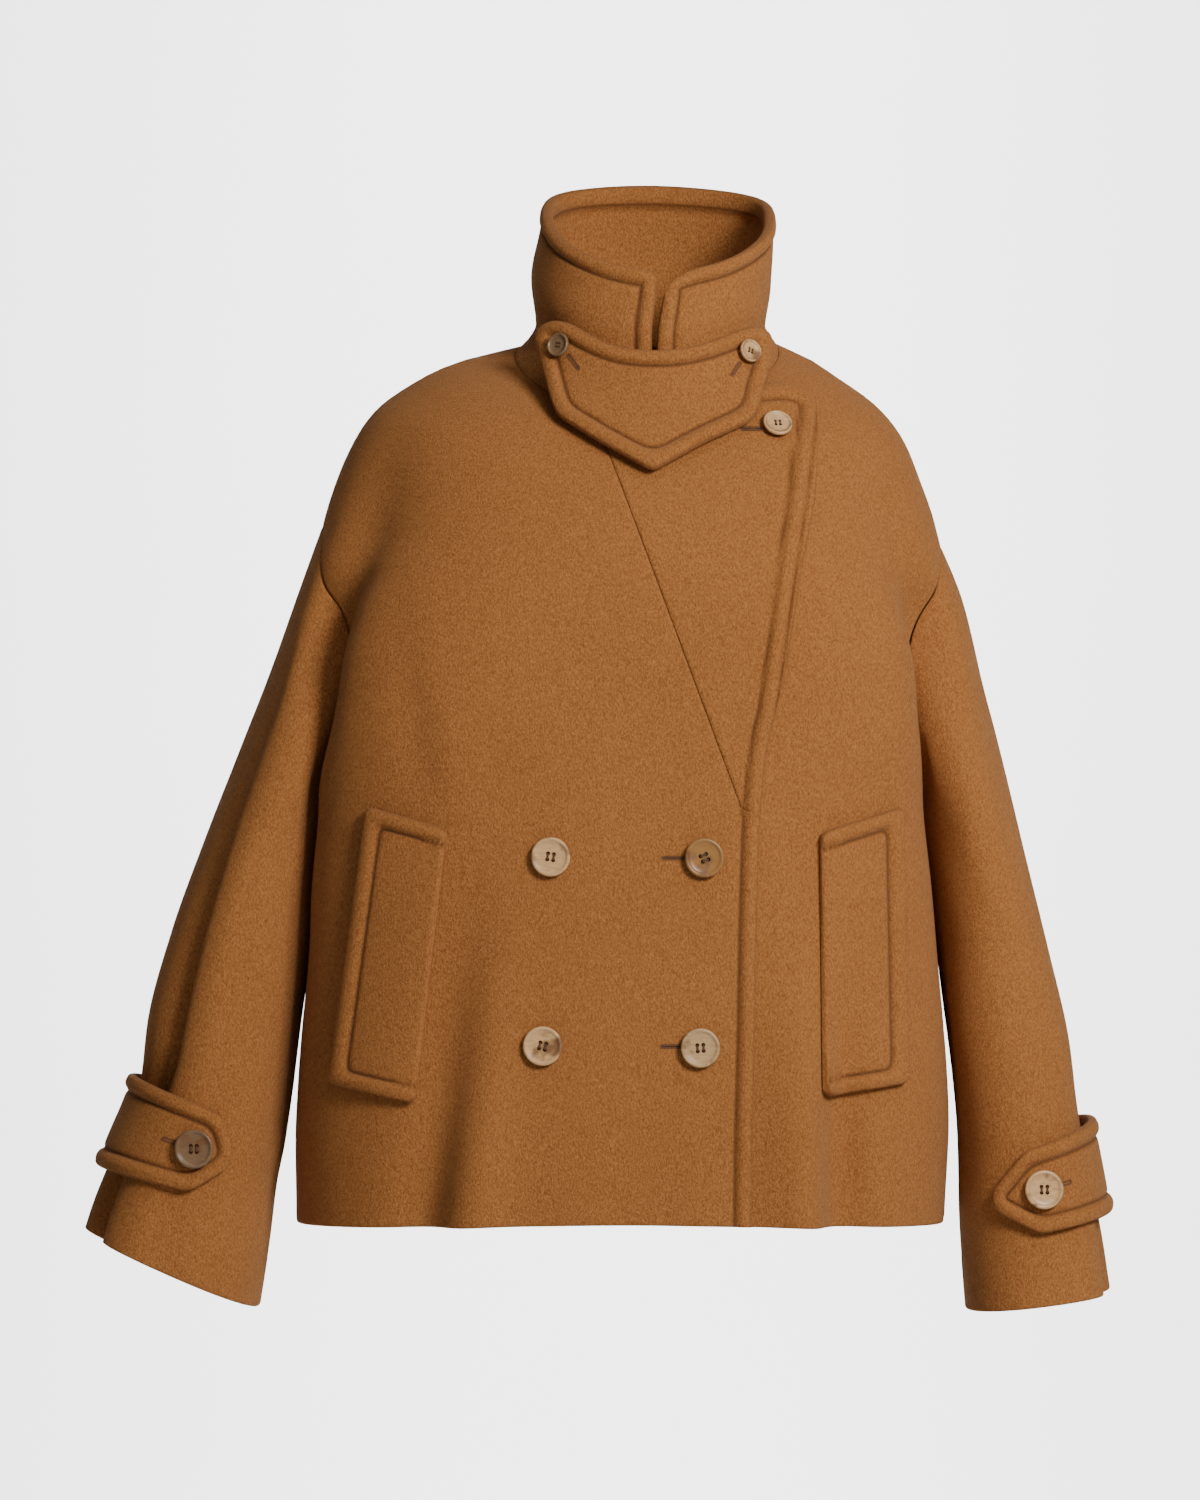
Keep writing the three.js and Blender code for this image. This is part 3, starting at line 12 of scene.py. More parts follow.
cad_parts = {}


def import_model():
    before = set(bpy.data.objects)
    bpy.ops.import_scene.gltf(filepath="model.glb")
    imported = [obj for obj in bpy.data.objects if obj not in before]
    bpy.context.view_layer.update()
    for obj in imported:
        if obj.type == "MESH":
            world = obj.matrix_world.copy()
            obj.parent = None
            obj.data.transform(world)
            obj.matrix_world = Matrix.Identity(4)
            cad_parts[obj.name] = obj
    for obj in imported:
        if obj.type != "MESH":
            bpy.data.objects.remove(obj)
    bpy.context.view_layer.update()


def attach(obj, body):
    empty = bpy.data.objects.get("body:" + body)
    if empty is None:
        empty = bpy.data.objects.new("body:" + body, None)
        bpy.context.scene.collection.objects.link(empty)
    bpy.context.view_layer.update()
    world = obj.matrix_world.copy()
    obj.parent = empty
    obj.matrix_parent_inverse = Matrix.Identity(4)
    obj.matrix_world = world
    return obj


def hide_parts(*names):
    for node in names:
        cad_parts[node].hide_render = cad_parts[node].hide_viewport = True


LOG = logging.getLogger("pea_coat")

Array = np.ndarray
Surface = Callable[[Array, Array], Array]
Place = Callable[[Array, Array], Array]

METRE = 1000
MIDDLE = 0.5

# Cloth, in millimetres
LAYER = 3.0
DOUBLED = 5.5
SEAM_GAP = 0.3
LAID_GAP = 0.9
OVERLAP_DROP = LAYER + 0.8
PRESSED = 0.9
SEAM_REACH = 3.0
ROLL = 3.0
STITCH_LINE = 12.6
EDGE_REACH = 30
HEM_ROUNDING = 1.6

MEASURED_SPOTS = 240

EDGE_STOPS = (0.0, 0.15, 0.5, 1.1, 1.9, 3.0, 4.4, 6.0, 7.8, 9.6, 11.0, 12.0, 12.6, 13.3, 14.4, 16.0, 18.5)
SEAM_STOPS = (0.0, 0.5, 1.2, 2.2, 3.6)
GROOVE = EDGE_STOPS.index(STITCH_LINE)


def mix(start: Any, end: Any, share: Any) -> Any:
    """Value at a share of the way from start to end."""
    return start + (end - start) * share


def ease(share: Any) -> Any:
    """Smooth step of a share, held between 0 and 1."""
    held = np.clip(share, 0.0, 1.0)
    return held * held * (3 - 2 * held)


def bell(offset: Any, width: Any) -> Any:
    """Bell curve of an offset, 1 at its middle."""
    return np.exp(-0.5 * (offset / width) ** 2)


def unit(vectors: Array) -> Array:
    """Vectors brought to length 1."""
    return vectors / np.maximum(np.linalg.norm(vectors, axis=-1, keepdims=True), 1e-12)


class Curves:
    """Smooth curves through the columns of a table, without overshoot between its rows."""

    def __init__(self, columns: str, rows: Sequence[Sequence[float]]) -> None:
        """Fit the curves.

        Args:
            columns: names of the columns, the place along the curve first.
            rows: the table's rows.
        """
        table = np.array(sorted(rows), float)
        self.places = table[:, 0]
        self.steps = np.diff(self.places)
        self.columns = {
            name: (table[:, k], self.slopes(table[:, k]))
            for k, name in enumerate(columns.split())
            if k
        }

    def slopes(self, values: Array) -> Array:
        """Slope of a curve at each row.

        Args:
            values: values of one column.

        Returns:
            The slopes.
        """
        rises = np.diff(values) / self.steps
        slopes = np.concatenate(([rises[0]], np.zeros(len(values) - 2), [rises[-1]]))
        for k in range(1, len(values) - 1):
            if rises[k - 1] * rises[k] > 0:
                before = 2 * self.steps[k] + self.steps[k - 1]
                after = self.steps[k] + 2 * self.steps[k - 1]
                slopes[k] = (before + after) / (before / rises[k - 1] + after / rises[k])
        return slopes

    def at(self, place: Any, name: str) -> Any:
        """Value of a column at a place, in a straight line past the table's ends.

        Args:
            place: place along the curve.
            name: name of the column.

        Returns:
            The value.
        """
        values, slopes = self.columns[name]
        place = np.asarray(place, float)
        held = np.clip(place, self.places[0], self.places[-1])
        k = np.clip(np.searchsorted(self.places, held, side="right") - 1, 0, len(self.steps) - 1)
        t = (held - self.places[k]) / self.steps[k]
        start = (1 + 2 * t) * (1 - t) ** 2 * values[k] + t * (1 - t) ** 2 * self.steps[k] * slopes[k]
        end = t * t * (3 - 2 * t) * values[k + 1] + t * t * (t - 1) * self.steps[k] * slopes[k + 1]
        past = np.where(place < self.places[0], slopes[0], slopes[-1]) * (place - held)
        return start + end + past

    def held(self, place: Any, name: str) -> Any:
        """Value of a column at a place, held at the table's ends."""
        return self.at(np.clip(place, self.places[0], self.places[-1]), name)


LOOP_COLUMNS = "side centre half front back square_front square_back tilt curl lean"


class LoopStack:
    """A tube of loops round the body or the neck."""

    def __init__(self, rows: Sequence[Sequence[float]]) -> None:
        """Keep the loops as curves by the height of each at its sides."""
        self.rows = rows
        self.curves = Curves(LOOP_COLUMNS, rows)

    def spot(self, turn: Array, side: Array) -> tuple[Array, Array]:
        """Place on the tube.

        Args:
            turn: degrees from the front, towards the wearer's left.
            side: height of the loop at its sides.

        Returns:
            The points, and the ways out of them.
        """
        turn, side = np.broadcast_arrays(np.asarray(turn, float), np.asarray(side, float))
        s, c = np.sin(np.radians(turn)), np.cos(np.radians(turn))
        at = self.curves.at
        square = np.where(c > 0, at(side, "square_front"), at(side, "square_back"))
        deep = np.where(c > 0, at(side, "front"), at(side, "back"))
        half = at(side, "half")
        reach = ((np.abs(s) / half) ** square + (np.abs(c) / deep) ** square) ** (-1 / square)
        out_x = np.sign(s) * (np.abs(reach * s) / half) ** (square - 1) / half
        out_y = -np.sign(c) * (np.abs(reach * c) / deep) ** (square - 1) / deep
        height = side - at(side, "tilt") * c - 2 * at(side, "curl") * c * c + at(side, "lean") * s
        point = np.stack((at(side, "centre") + reach * s, -reach * c, height), -1)
        return point, unit(np.stack((out_x, out_y, np.zeros_like(out_x)), -1))

    def surface(self, turn: Array, side: Array) -> Array:
        """Points on the tube."""
        return self.spot(turn, side)[0]


def way_out(surface: Surface, a: Array, b: Array, step_a: float, step_b: float) -> Array:
    """Way out of a surface given by a function of two places.

    Args:
        surface: points of the surface by two places.
        a: first place.
        b: second place.
        step_a: small step of the first place.
        step_b: small step of the second place.

    Returns:
        The ways out, of length 1.
    """
    along_a = surface(a + step_a, b) - surface(a - step_a, b)
    along_b = surface(a, b + step_b) - surface(a, b - step_b)
    return unit(np.cross(along_a, along_b))


class Face(Enum):
    """Half of the body that a fold lies on."""

    FRONT = -1
    BACK = 1


@dataclass(frozen=True)
class Fold:
    """A soft fold on the body, from its top down to where it is widest."""

    face: Face
    top: tuple[float, float]
    foot: tuple[float, float]
    width: float
    height: float
    fades: bool = False

    def lift(self, point: Array) -> Array:
        """Height of the fold at points of the body.

        Args:
            point: points, in millimetres.

        Returns:
            The heights.
        """
        share = (self.top[1] - point[..., 2]) / (self.top[1] - self.foot[1])
        line = mix(self.top[0], self.foot[0], share)
        rise = ease(share) * (ease(3 * (1.33 - share)) if self.fades else 1.0)
        shown = (np.sign(point[..., 1]) == self.face.value) & (share > 0)
        return np.where(shown, self.height * rise * bell(point[..., 0] - line, self.width), 0.0)


@dataclass
class BodyForm:
    """The body's cloth as a surface: its loops, the drapes beside the arms and the folds."""

    loops: LoopStack = field(default_factory=lambda: LoopStack((
        (-2, -7.5, 99.5, 92, 80, 2.1, 2.1, 34.5, 9.2, 2),
        (-11, -16.5, 134, 104, 92, 2.05, 2, 35, 12, 1),
        (-22, -20, 156, 113, 101, 2, 2, 35, 14, 0),
        (-45, -21.5, 189, 124, 112, 2, 2, 32, 14.5, 0),
        (-67, -21, 205.5, 130, 118, 2, 2, 27.5, 13.5, 0),
        (-97, -21.5, 218.5, 136, 123, 2, 2.05, 20, 10, 0),
        (-131, -21, 229.5, 142, 127, 2.1, 2.1, 12, 6, 0),
        (-165, -21.5, 236, 146, 130, 2.4, 2.3, 5, 2.5, 0),
        (-197, -22, 236, 149, 132, 2.8, 2.5, 0, 0, 0),
        (-238, -22, 237, 152, 134, 3.1, 2.6, 0, 0, 0),
        (-280, -24, 238, 156, 137, 3.1, 2.7, 0, 0, 0),
        (-335, -28, 240, 160, 140, 2.8, 2.6, 0, 0, 0),
        (-400, -27.5, 247, 163, 144, 2.6, 2.5, 0, 0, 0),
        (-450, -26.5, 251, 165, 148, 2.5, 2.5, 0, 0, 0),
        (-545, -26, 255, 168, 156, 2.5, 2.5, -1, -1, 0),
        (-652, -26.5, 249.5, 170, 162, 2.5, 2.5, -2.5, -2.3, 0),
    )))
    arm_drape: Curves = field(default_factory=lambda: Curves("side forward width right left", (
        (-40, 62, 14, 0, 0),
        (-97, 75, 14, 6, 3),
        (-131, 80, 14, 11, 6),
        (-165, 84, 15, 16, 11),
        (-197, 74, 18, 25, 21),
        (-238, 64, 20, 28, 25),
        (-280, 48, 26, 31, 27),
        (-335, 8, 38, 34, 27),
        (-400, 5, 40, 31, 25),
        (-450, 8, 40, 27, 22),
        (-500, 10, 40, 21, 18),
        (-548, 12, 40, 16, 14),
        (-592, 14, 40, 10, 10),
        (-652, 16, 40, 6, 9),
    )))
    back_drape: Curves = field(default_factory=lambda: Curves("side backward width depth", (
        (-120, 75, 20, 0),
        (-165, 80, 20, 7),
        (-197, 80, 20, 15),
        (-238, 76, 20, 19),
        (-280, 62, 24, 19),
        (-320, 40, 26, 9),
        (-350, 30, 26, 0),
    )))
    folds: tuple[Fold, ...] = (
        Fold(Face.FRONT, (-110, -350), (-141, -652), 17, 15),
        Fold(Face.FRONT, (-128, -350), (-170, -652), 16, -15),
        Fold(Face.FRONT, (98, -330), (106, -652), 20, 17),
        Fold(Face.FRONT, (130, -390), (137, -652), 12, -19),
        Fold(Face.BACK, (-120, -300), (-168, -652), 22, 13),
        Fold(Face.BACK, (-80, -340), (-112, -652), 24, -11),
        Fold(Face.BACK, (-28, -380), (-34, -652), 24, 8),
        Fold(Face.BACK, (40, -350), (56, -652), 24, -10),
        Fold(Face.BACK, (84, -300), (116, -652), 22, 14),
        Fold(Face.FRONT, (-196, -150), (-176, -300), 9, -2.4, True),
        Fold(Face.FRONT, (-178, -190), (-150, -320), 12, 1.6, True),
        Fold(Face.FRONT, (150, -150), (136, -290), 9, -2.0, True),
        Fold(Face.FRONT, (-60, -240), (-66, -560), 30, 1.6, True),
        Fold(Face.FRONT, (-20, -420), (-14, -652), 22, -1.8),
        Fold(Face.FRONT, (30, -430), (36, -652), 18, 1.6),
        Fold(Face.BACK, (-150, -140), (-120, -300), 11, -2.6, True),
        Fold(Face.BACK, (120, -150), (92, -300), 11, -2.4, True),
        Fold(Face.BACK, (-20, -90), (-26, -330), 34, 1.8, True),
        Fold(Face.BACK, (4, -470), (8, -652), 20, 2.2),
    )

    @property
    def hem(self) -> float:
        """Side height of the hem."""
        return self.loops.rows[-1][0]

    @property
    def foot(self) -> float:
        """Side height of the neck seam."""
        return self.loops.rows[0][0]

    def point(self, turn: Array, side: Array) -> Array:
        """Points on the outer face of the body's cloth.

        Args:
            turn: degrees from the front, towards the wearer's left.
            side: height of the loop at its sides.

        Returns:
            The points.
        """
        point, out = self.loops.spot(turn, side)
        lift = sum(fold.lift(point) for fold in self.folds)
        right = np.sin(np.radians(turn)) < 0
        front = np.where(right, self.arm_drape.held(side, "right"), self.arm_drape.held(side, "left"))
        forward = point[..., 1] + self.arm_drape.held(side, "forward")
        backward = point[..., 1] - self.back_drape.held(side, "backward")
        lift = lift - front * bell(forward, self.arm_drape.held(side, "width"))
        behind = bell(backward, self.back_drape.held(side, "width"))
        lift = lift - self.back_drape.held(side, "depth") * behind
        return point + out * lift[..., None]

    def out(self, turn: Array, side: Array) -> Array:
        """Ways out of the body's cloth."""
        return way_out(self.point, turn, side, 0.4, 0.8)

    def on(self, turn: Array, side: Array, lift: Array) -> Array:
        """Points lifted off the body's cloth."""
        return self.point(turn, side) + self.out(turn, side) * np.asarray(lift)[..., None]

    def front_spot(self, x: Array, z: Array) -> tuple[Array, Array]:
        """Turn and side height of the front where it is seen at x and z.

        Args:
            x: places across.
            z: heights.

        Returns:
            The turns and the side heights.
        """
        turn = np.degrees(np.arctan2(x + 20, 150.0))
        side = np.array(z, float)
        for _ in range(14):
            here = self.point(turn, side)
            by_turn = (self.point(turn + 0.2, side) - here) * 5
            by_side = (self.point(turn, side + 0.5) - here) * 2
            size = by_turn[..., 0] * by_side[..., 2] - by_turn[..., 2] * by_side[..., 0]
            miss_x, miss_z = x - here[..., 0], z - here[..., 2]
            turn = turn + np.clip((miss_x * by_side[..., 2] - miss_z * by_side[..., 0]) / size, -12, 12)
            side = side + np.clip((by_turn[..., 0] * miss_z - by_turn[..., 2] * miss_x) / size, -40, 40)
        return turn, side

    @staticmethod
    def cover_drop(turn: Array, side: Array) -> Array:
        """Drop of the left front where the right front and its lapel lie over it.

        Args:
            turn: degrees from the front, towards the wearer's left.
            side: height of the loop at its sides.

        Returns:
            The drops.
        """
        high = ease((side + 220) / 160)
        start, end = mix(32, 8, high), mix(84, 46, high)
        return OVERLAP_DROP * (1 - ease((turn - start) / (end - start)))

    def on_front(self, flat: Array, lift: Array) -> Array:
        """Points lifted off the front where they are seen at x and z."""
        turn, side = self.front_spot(flat[..., 0], flat[..., 1])
        return self.on(turn, side, lift)

    def over_left_front(self, flat: Array, lift: Array) -> Array:
        """Points lifted off the left front where they are seen at x and z."""
        turn, side = self.front_spot(flat[..., 0], flat[..., 1])
        return self.on(turn, side, lift - self.cover_drop(turn, side))

    def crossing(self, side: Array, line: Callable[[Array], Array]) -> Array:
        """Turn at which each loop crosses a line given as x by height.

        Args:
            side: height of the loop at its sides.
            line: x of the line by height.

        Returns:
            The turns.
        """
        low, high = np.full_like(side, -75.0), np.full_like(side, 85.0)
        for _ in range(36):
            turn = (low + high) / 2
            point = self.point(turn, side)
            before = point[..., 0] < line(point[..., 2])
            low, high = np.where(before, turn, low), np.where(before, high, turn)
        return (low + high) / 2


@dataclass(frozen=True)
class Armhole:
    """Heights of an armhole's top and underarm, and its swing off the side line in degrees."""

    top: float
    under: float
    forward: float = 15.5
    backward: float = 17.0


RIGHT_ARMHOLE = Armhole(-131, -338)
LEFT_ARMHOLE = Armhole(-146, -345)


class EdgeRoll:
    """Height of a rolled, stitched edge above the cloth's face, by the distance from the edge."""

    CROWN = Curves("away rise", (
        (ROLL, 1.7), (5.2, 2.5), (8, 2.3), (10.3, 0.9), (11.7, -0.8), (12.6, -1.4),
        (13.4, -0.9), (14.8, -0.2), (17, 0), (19, 0),
    ))
    # Width of the painted shade bands, and the place and strength of the painted shade along the cloth's
    # edge
    GROOVE_SPREAD = 0.8
    RIM_MIDDLE = 0.3
    RIM_SHADE = 0.5

    @classmethod
    def outer(cls, away: Array, thickness: float) -> Array:
        """Lift of the upper face of a banded edge off its plain face.

        Args:
            away: distance from the free edge.
            thickness: thickness of the cloth.

        Returns:
            The lifts.
        """
        middle = -thickness / 2
        round_part = middle + (cls.CROWN.held(np.array(ROLL), "rise") - middle) * cls.quarter(away)
        return np.where(away < ROLL, round_part, cls.CROWN.held(away, "rise"))

    @classmethod
    def inner(cls, away: Array, thickness: float, rise: float = 0.0) -> Array:
        """Lift of the lower face, which rises to the middle at the edge.

        Args:
            away: distance from the free edge.
            thickness: thickness of the cloth.
            rise: share of the crown that this face takes.

        Returns:
            The lifts.
        """
        crown = rise * cls.CROWN.held(np.maximum(away, ROLL), "rise")
        full = -thickness - crown
        return mix(-thickness / 2, full, cls.quarter(away))

    @staticmethod
    def quarter(away: Array) -> Array:
        """Quarter circle from 0 at the edge to 1 where the roll ends."""
        return np.sqrt(1 - (1 - np.clip(away / ROLL, 0, 1)) ** 2)

    @staticmethod
    def seam(away: Array) -> Array:
        """Lift of cloth pressed down beside a seam."""
        return -PRESSED * (1 - np.clip(away / SEAM_REACH, 0, 1)) ** 2

    @classmethod
    def groove(cls, away: Array) -> Array:
        """Painted shade weight from 0 to 1: full along the stitched groove, half at the cloth's edge."""
        line = bell(away - STITCH_LINE, cls.GROOVE_SPREAD)
        return np.maximum(line, cls.RIM_SHADE * bell(away - cls.RIM_MIDDLE, cls.GROOVE_SPREAD))


@dataclass
class Patch:
    """A grid of points on the two faces of cloth, in millimetres."""

    outer: Array
    inner: Array
    groove: Array
    flat: Array

    @classmethod
    def of(cls, base: Array, out: Array, top: Array, under: Array, groove: Array) -> "Patch":
        """Patch lifted off a base surface.

        Args:
            base: rows of points.
            out: ways out of them.
            top: lift of the outer face.
            under: lift of the inner face.
            groove: painted shade weight of each point, highest in a stitched groove.

        Returns:
            The patch, with its flat places measured along the base.
        """
        across = measured(base, 1)
        down = measured(base, 0)
        flat = np.stack((across, down), -1)
        return cls(base + out * top[..., None], base + out * under[..., None], groove, flat)

    def cut(self) -> tuple[float, float, float]:
        """Width, length and area of the flat cloth, in metres.

        Returns:
            Width, length and area.
        """
        middle = (self.outer + self.inner) / 2
        a, b = middle[1:, 1:] - middle[:-1, :-1], middle[1:, :-1] - middle[:-1, 1:]
        area = 0.5 * np.linalg.norm(np.cross(a, b), axis=-1).sum()
        width, length = measured(middle, 1)[:, -1].max(), measured(middle, 0)[-1].max()
        return width / METRE, length / METRE, area / METRE ** 2


def measured(points: Array, axis: int) -> Array:
    """Length along a grid of points from its first row or column.

    Args:
        points: rows of points.
        axis: 1 to measure along the rows, 0 from row to row.

    Returns:
        The length at each point.
    """
    steps = np.linalg.norm(np.diff(points, axis=axis), axis=-1)
    start = np.zeros_like(np.take(steps, [0], axis=axis))
    return np.concatenate((start, np.cumsum(steps, axis=axis)), axis=axis)


def stops_between(start: Sequence[float], end: Sequence[float], total: Array, count: int) -> Array:
    """Distances along rows of given lengths, close together at both ends.

    Args:
        start: distances from the start.
        end: distances from the end.
        total: length of each row.
        count: spans of the middle stretch.

    Returns:
        A row of distances for each length.
    """
    total = np.atleast_1d(total)[:, None]
    scale = np.minimum(1.0, 0.45 * total / max(start[-1], end[-1], 1e-6))
    first = np.array(start)[None] * scale
    last = total - np.array(end[::-1])[None] * scale
    middle = mix(first[:, -1:], last[:, :1], np.linspace(0, 1, count + 1)[None, 1:-1])
    return np.concatenate((first, middle, last), 1)


def along_rows(
    path: Callable[[Array], Array], count: int, stops: Callable[[Array], Array],
) -> tuple[Array, Array]:
    """Shares of the way along each row at which wanted distances are reached.

    Args:
        path: points of all rows at shares of the way.
        count: number of rows.
        stops: wanted distances by the rows' lengths.

    Returns:
        The shares, and the distances.
    """
    shares = np.linspace(0, 1, MEASURED_SPOTS)
    lengths = measured(path(np.broadcast_to(shares, (count, len(shares)))), 1)
    wanted = stops(lengths[:, -1])
    found = np.stack([np.interp(wanted[k], lengths[k], shares) for k in range(count)])
    return found, wanted


class Maker:
    """Turns patches of points into closed cloth, with bmesh operators."""

    @staticmethod
    def cloth(name: str, patches: Sequence[Patch], material: bpy.types.Material) -> bpy.types.Object:
        """Closed piece of cloth.

        Args:
            name: name of the piece.
            patches: grids of points, welded where they meet.
            material: its finish.

        Returns:
            The new object.
        """
        bm = bmesh.new()
        place = bm.verts.layers.int.new("place")
        # Painted shade weight of each point, read by the wool's colour
        groove = bm.verts.layers.float.new("groove")
        flat = bm.loops.layers.uv.new("flat")
        start = 0
        for patch in patches:
            rows, columns = patch.outer.shape[:2]
            bmesh.ops.create_grid(bm, x_segments=columns - 1, y_segments=rows - 1, size=0.5)
            bm.verts.ensure_lookup_table()
            points = patch.outer.reshape(-1, 3) / METRE
            for k, point in enumerate(points.tolist()):
                vertex = bm.verts[start + k]
                vertex.co = point
                vertex[place] = start + k
            start += len(points)
        under = np.concatenate([patch.inner.reshape(-1, 3) for patch in patches]) / METRE
        depth = np.concatenate([patch.groove.reshape(-1) for patch in patches])
        spread = np.concatenate([patch.flat.reshape(-1, 2) for patch in patches]) / METRE
        bmesh.ops.remove_doubles(bm, verts=bm.verts[:], dist=1e-6)
        grown = bmesh.ops.extrude_face_region(bm, geom=bm.faces[:])
        for vertex in (item for item in grown["geom"] if isinstance(item, bmesh.types.BMVert)):
            vertex.co = under[vertex[place]]
        bmesh.ops.recalc_face_normals(bm, faces=bm.faces[:])
        for vertex in bm.verts:
            vertex[groove] = depth[vertex[place]]
        for face in bm.faces:
            face.smooth = True
            for loop in face.loops:
                loop[flat].uv = spread[loop.vert[place]]
        return Maker.finish(name, bm, material)

    @staticmethod
    def finish(name: str, bm: bmesh.types.BMesh, material: bpy.types.Material) -> bpy.types.Object:
        """Object made of a bmesh, in the scene, with a material.

        Args:
            name: name of the piece.
            bm: mesh that takes the new faces.
            material: its finish.

        Returns:
            The new object.
        """
        mesh = bpy.data.meshes.new(name)
        bm.to_mesh(mesh)
        bm.free()
        mesh.materials.append(material)
        mesh.set_sharp_from_angle(angle=math.radians(62))
        made = bpy.data.objects.new(name, mesh)
        bpy.context.scene.collection.objects.link(made)
        return made


class Value:
    """One output of a shader node, with its maths written as expressions."""

    def __init__(self, graph: "Graph", socket: bpy.types.NodeSocket) -> None:
        """Wrap a socket of a graph."""
        self.graph = graph
        self.socket = socket

    def __add__(self, other: Any) -> "Value":
        """Sum."""
        return self.graph.math("ADD", self, other)

    __radd__ = __add__

    def __mul__(self, other: Any) -> "Value":
        """Product."""
        return self.graph.math("MULTIPLY", self, other)

    __rmul__ = __mul__

    def __sub__(self, other: Any) -> "Value":
        """Difference."""
        return self.graph.math("SUBTRACT", self, other)

    def __rsub__(self, other: Any) -> "Value":
        """Difference the other way round."""
        return self.graph.math("SUBTRACT", other, self)

    def step(self, low: float, high: float) -> "Value":
        """Smooth step between two values.

        Args:
            low: value that gives 0.
            high: value that gives 1.

        Returns:
            The step, from 0 to 1.
        """
        settings = {"interpolation_type": "SMOOTHSTEP"}
        inputs = {"Value": self, "From Min": low, "From Max": high}
        return self.graph.node("ShaderNodeMapRange", settings, inputs)


class Graph:
    """Shader nodes of one material."""

    def __init__(self, name: str) -> None:
        """Start a material with a principled shader.

        Args:
            name: name of the piece.
        """
        self.material = bpy.data.materials.new(name)
        self.material.use_nodes = True
        self.nodes = self.material.node_tree.nodes
        self.links = self.material.node_tree.links
        self.shader = self.nodes["Principled BSDF"]

    def node(self, kind: str, settings: dict[str, Any], inputs: dict[Any, Any], output: Any = 0) -> Value:
        """Add a node.

        Args:
            kind: type of the node.
            settings: its settings, set first.
            inputs: values or links of its sockets.
            output: name or number of the output that is wanted.

        Returns:
            The wanted output.
        """
        made = self.nodes.new(kind)
        for key, value in settings.items():
            setattr(made, key, value)
        for key, value in inputs.items():
            self.feed(made.inputs[key], value)
        return Value(self, made.outputs[output])

    def feed(self, socket: bpy.types.NodeSocket, value: Any) -> None:
        """Link or set one input.

        Args:
            socket: the input.
            value: number, colour or output.
        """
        if isinstance(value, Value):
            self.links.new(value.socket, socket)
        else:
            socket.default_value = value

    def math(self, operation: str, a: Any, b: Any) -> Value:
        """Math on two values."""
        return self.node("ShaderNodeMath", {"operation": operation}, {0: a, 1: b})

    def blend(self, factor: Any, a: Any, b: Any) -> Value:
        """Colour between two colours."""
        settings = {"data_type": "RGBA"}
        return self.node("ShaderNodeMix", settings, {0: factor, 6: a, 7: b}, 2)

    def coordinates(self, output: str) -> Value:
        """Texture coordinates of the piece itself."""
        return self.node("ShaderNodeTexCoord", {}, {}, output)

    def stretched(self, vector: Value, scale: Sequence[float], turn: Sequence[float] = (0, 0, 0)) -> Value:
        """Coordinates scaled and turned."""
        return self.node("ShaderNodeMapping", {}, {"Vector": vector, "Scale": scale, "Rotation": turn})

    def noise(self, vector: Value, scale: float, detail: float = 2.0, rough: float = 0.55) -> Value:
        """Noise between 0 and 1."""
        inputs = {"Vector": vector, "Scale": scale, "Detail": detail, "Roughness": rough}
        return self.node("ShaderNodeTexNoise", {}, inputs)

    def bump(self, height: Value, strength: float, distance: float) -> Value:
        """Normal raised by a height."""
        inputs = {"Height": height, "Strength": strength, "Distance": distance}
        return self.node("ShaderNodeBump", {}, inputs)

    def dress(self, inputs: dict[str, Any]) -> bpy.types.Material:
        """Set the shader's sockets and give the material.

        Args:
            inputs: values or links of the inputs.

        Returns:
            The finished material.
        """
        for key, value in inputs.items():
            self.feed(self.shader.inputs[key], value)
        return self.material


@dataclass(frozen=True)
class WoolFinish:
    """Thick brushed wool with a fine mottled nap."""

    name: str = "camel_wool"
    light: tuple[float, float, float, float] = (0.50, 0.200, 0.060, 1)
    dark: tuple[float, float, float, float] = (0.235, 0.080, 0.020, 1)
    # Colour of the painted shade in stitched grooves, along cloth edges and in sleeve pleats
    painted_shade_colour: tuple[float, float, float, float] = (0.10, 0.034, 0.011, 1)
    fuzz: float = 0.16
    fibre_scale: float = 1900
    tuft_scale: float = 780
    clump_scale: float = 260
    wear_scale: float = 9
    groove_shade: float = 0.7

    def make(self) -> bpy.types.Material:
        """Material of the wool.

        Returns:
            The finished material.
        """
        graph = Graph(self.name)
        place = graph.coordinates("Object")
        lying = graph.stretched(place, (1.0, 1.0, 0.6), (0, math.radians(24), 0))
        fibres = graph.noise(lying, self.fibre_scale, 2, 0.6)
        tufts = graph.noise(lying, self.tuft_scale, 2, 0.6)
        clumps = graph.noise(place, self.clump_scale, 1.5, 0.5)
        wear = graph.noise(place, self.wear_scale, 2, 0.5)
        tone = (tufts - MIDDLE) * 1.35 + (fibres - MIDDLE) * 1.25 + (clumps - MIDDLE) * 0.12
        tone = tone + (wear - MIDDLE) * 0.15 + MIDDLE
        colour = graph.blend(tone.step(0.0, 1.0), self.dark, self.light)
        # Painted shade: the groove attribute darkens the wool towards the shade colour in stitched grooves,
        # along cloth edges and in sleeve pleats
        groove = graph.node("ShaderNodeAttribute", {"attribute_name": "groove"}, {}, "Fac")
        colour = graph.blend(groove * self.groove_shade, colour, self.painted_shade_colour)
        height = tufts * 0.8 + fibres * 0.7 + clumps * 0.12
        return graph.dress({
            "Base Color": colour,
            "Roughness": 0.95,
            "Specular IOR Level": 0.08,
            "Sheen Weight": self.fuzz,
            "Sheen Roughness": 0.4,
            "Sheen Tint": (1.0, 0.66, 0.36, 1),
            "Normal": graph.bump(height, 0.9, 0.0012),
        })


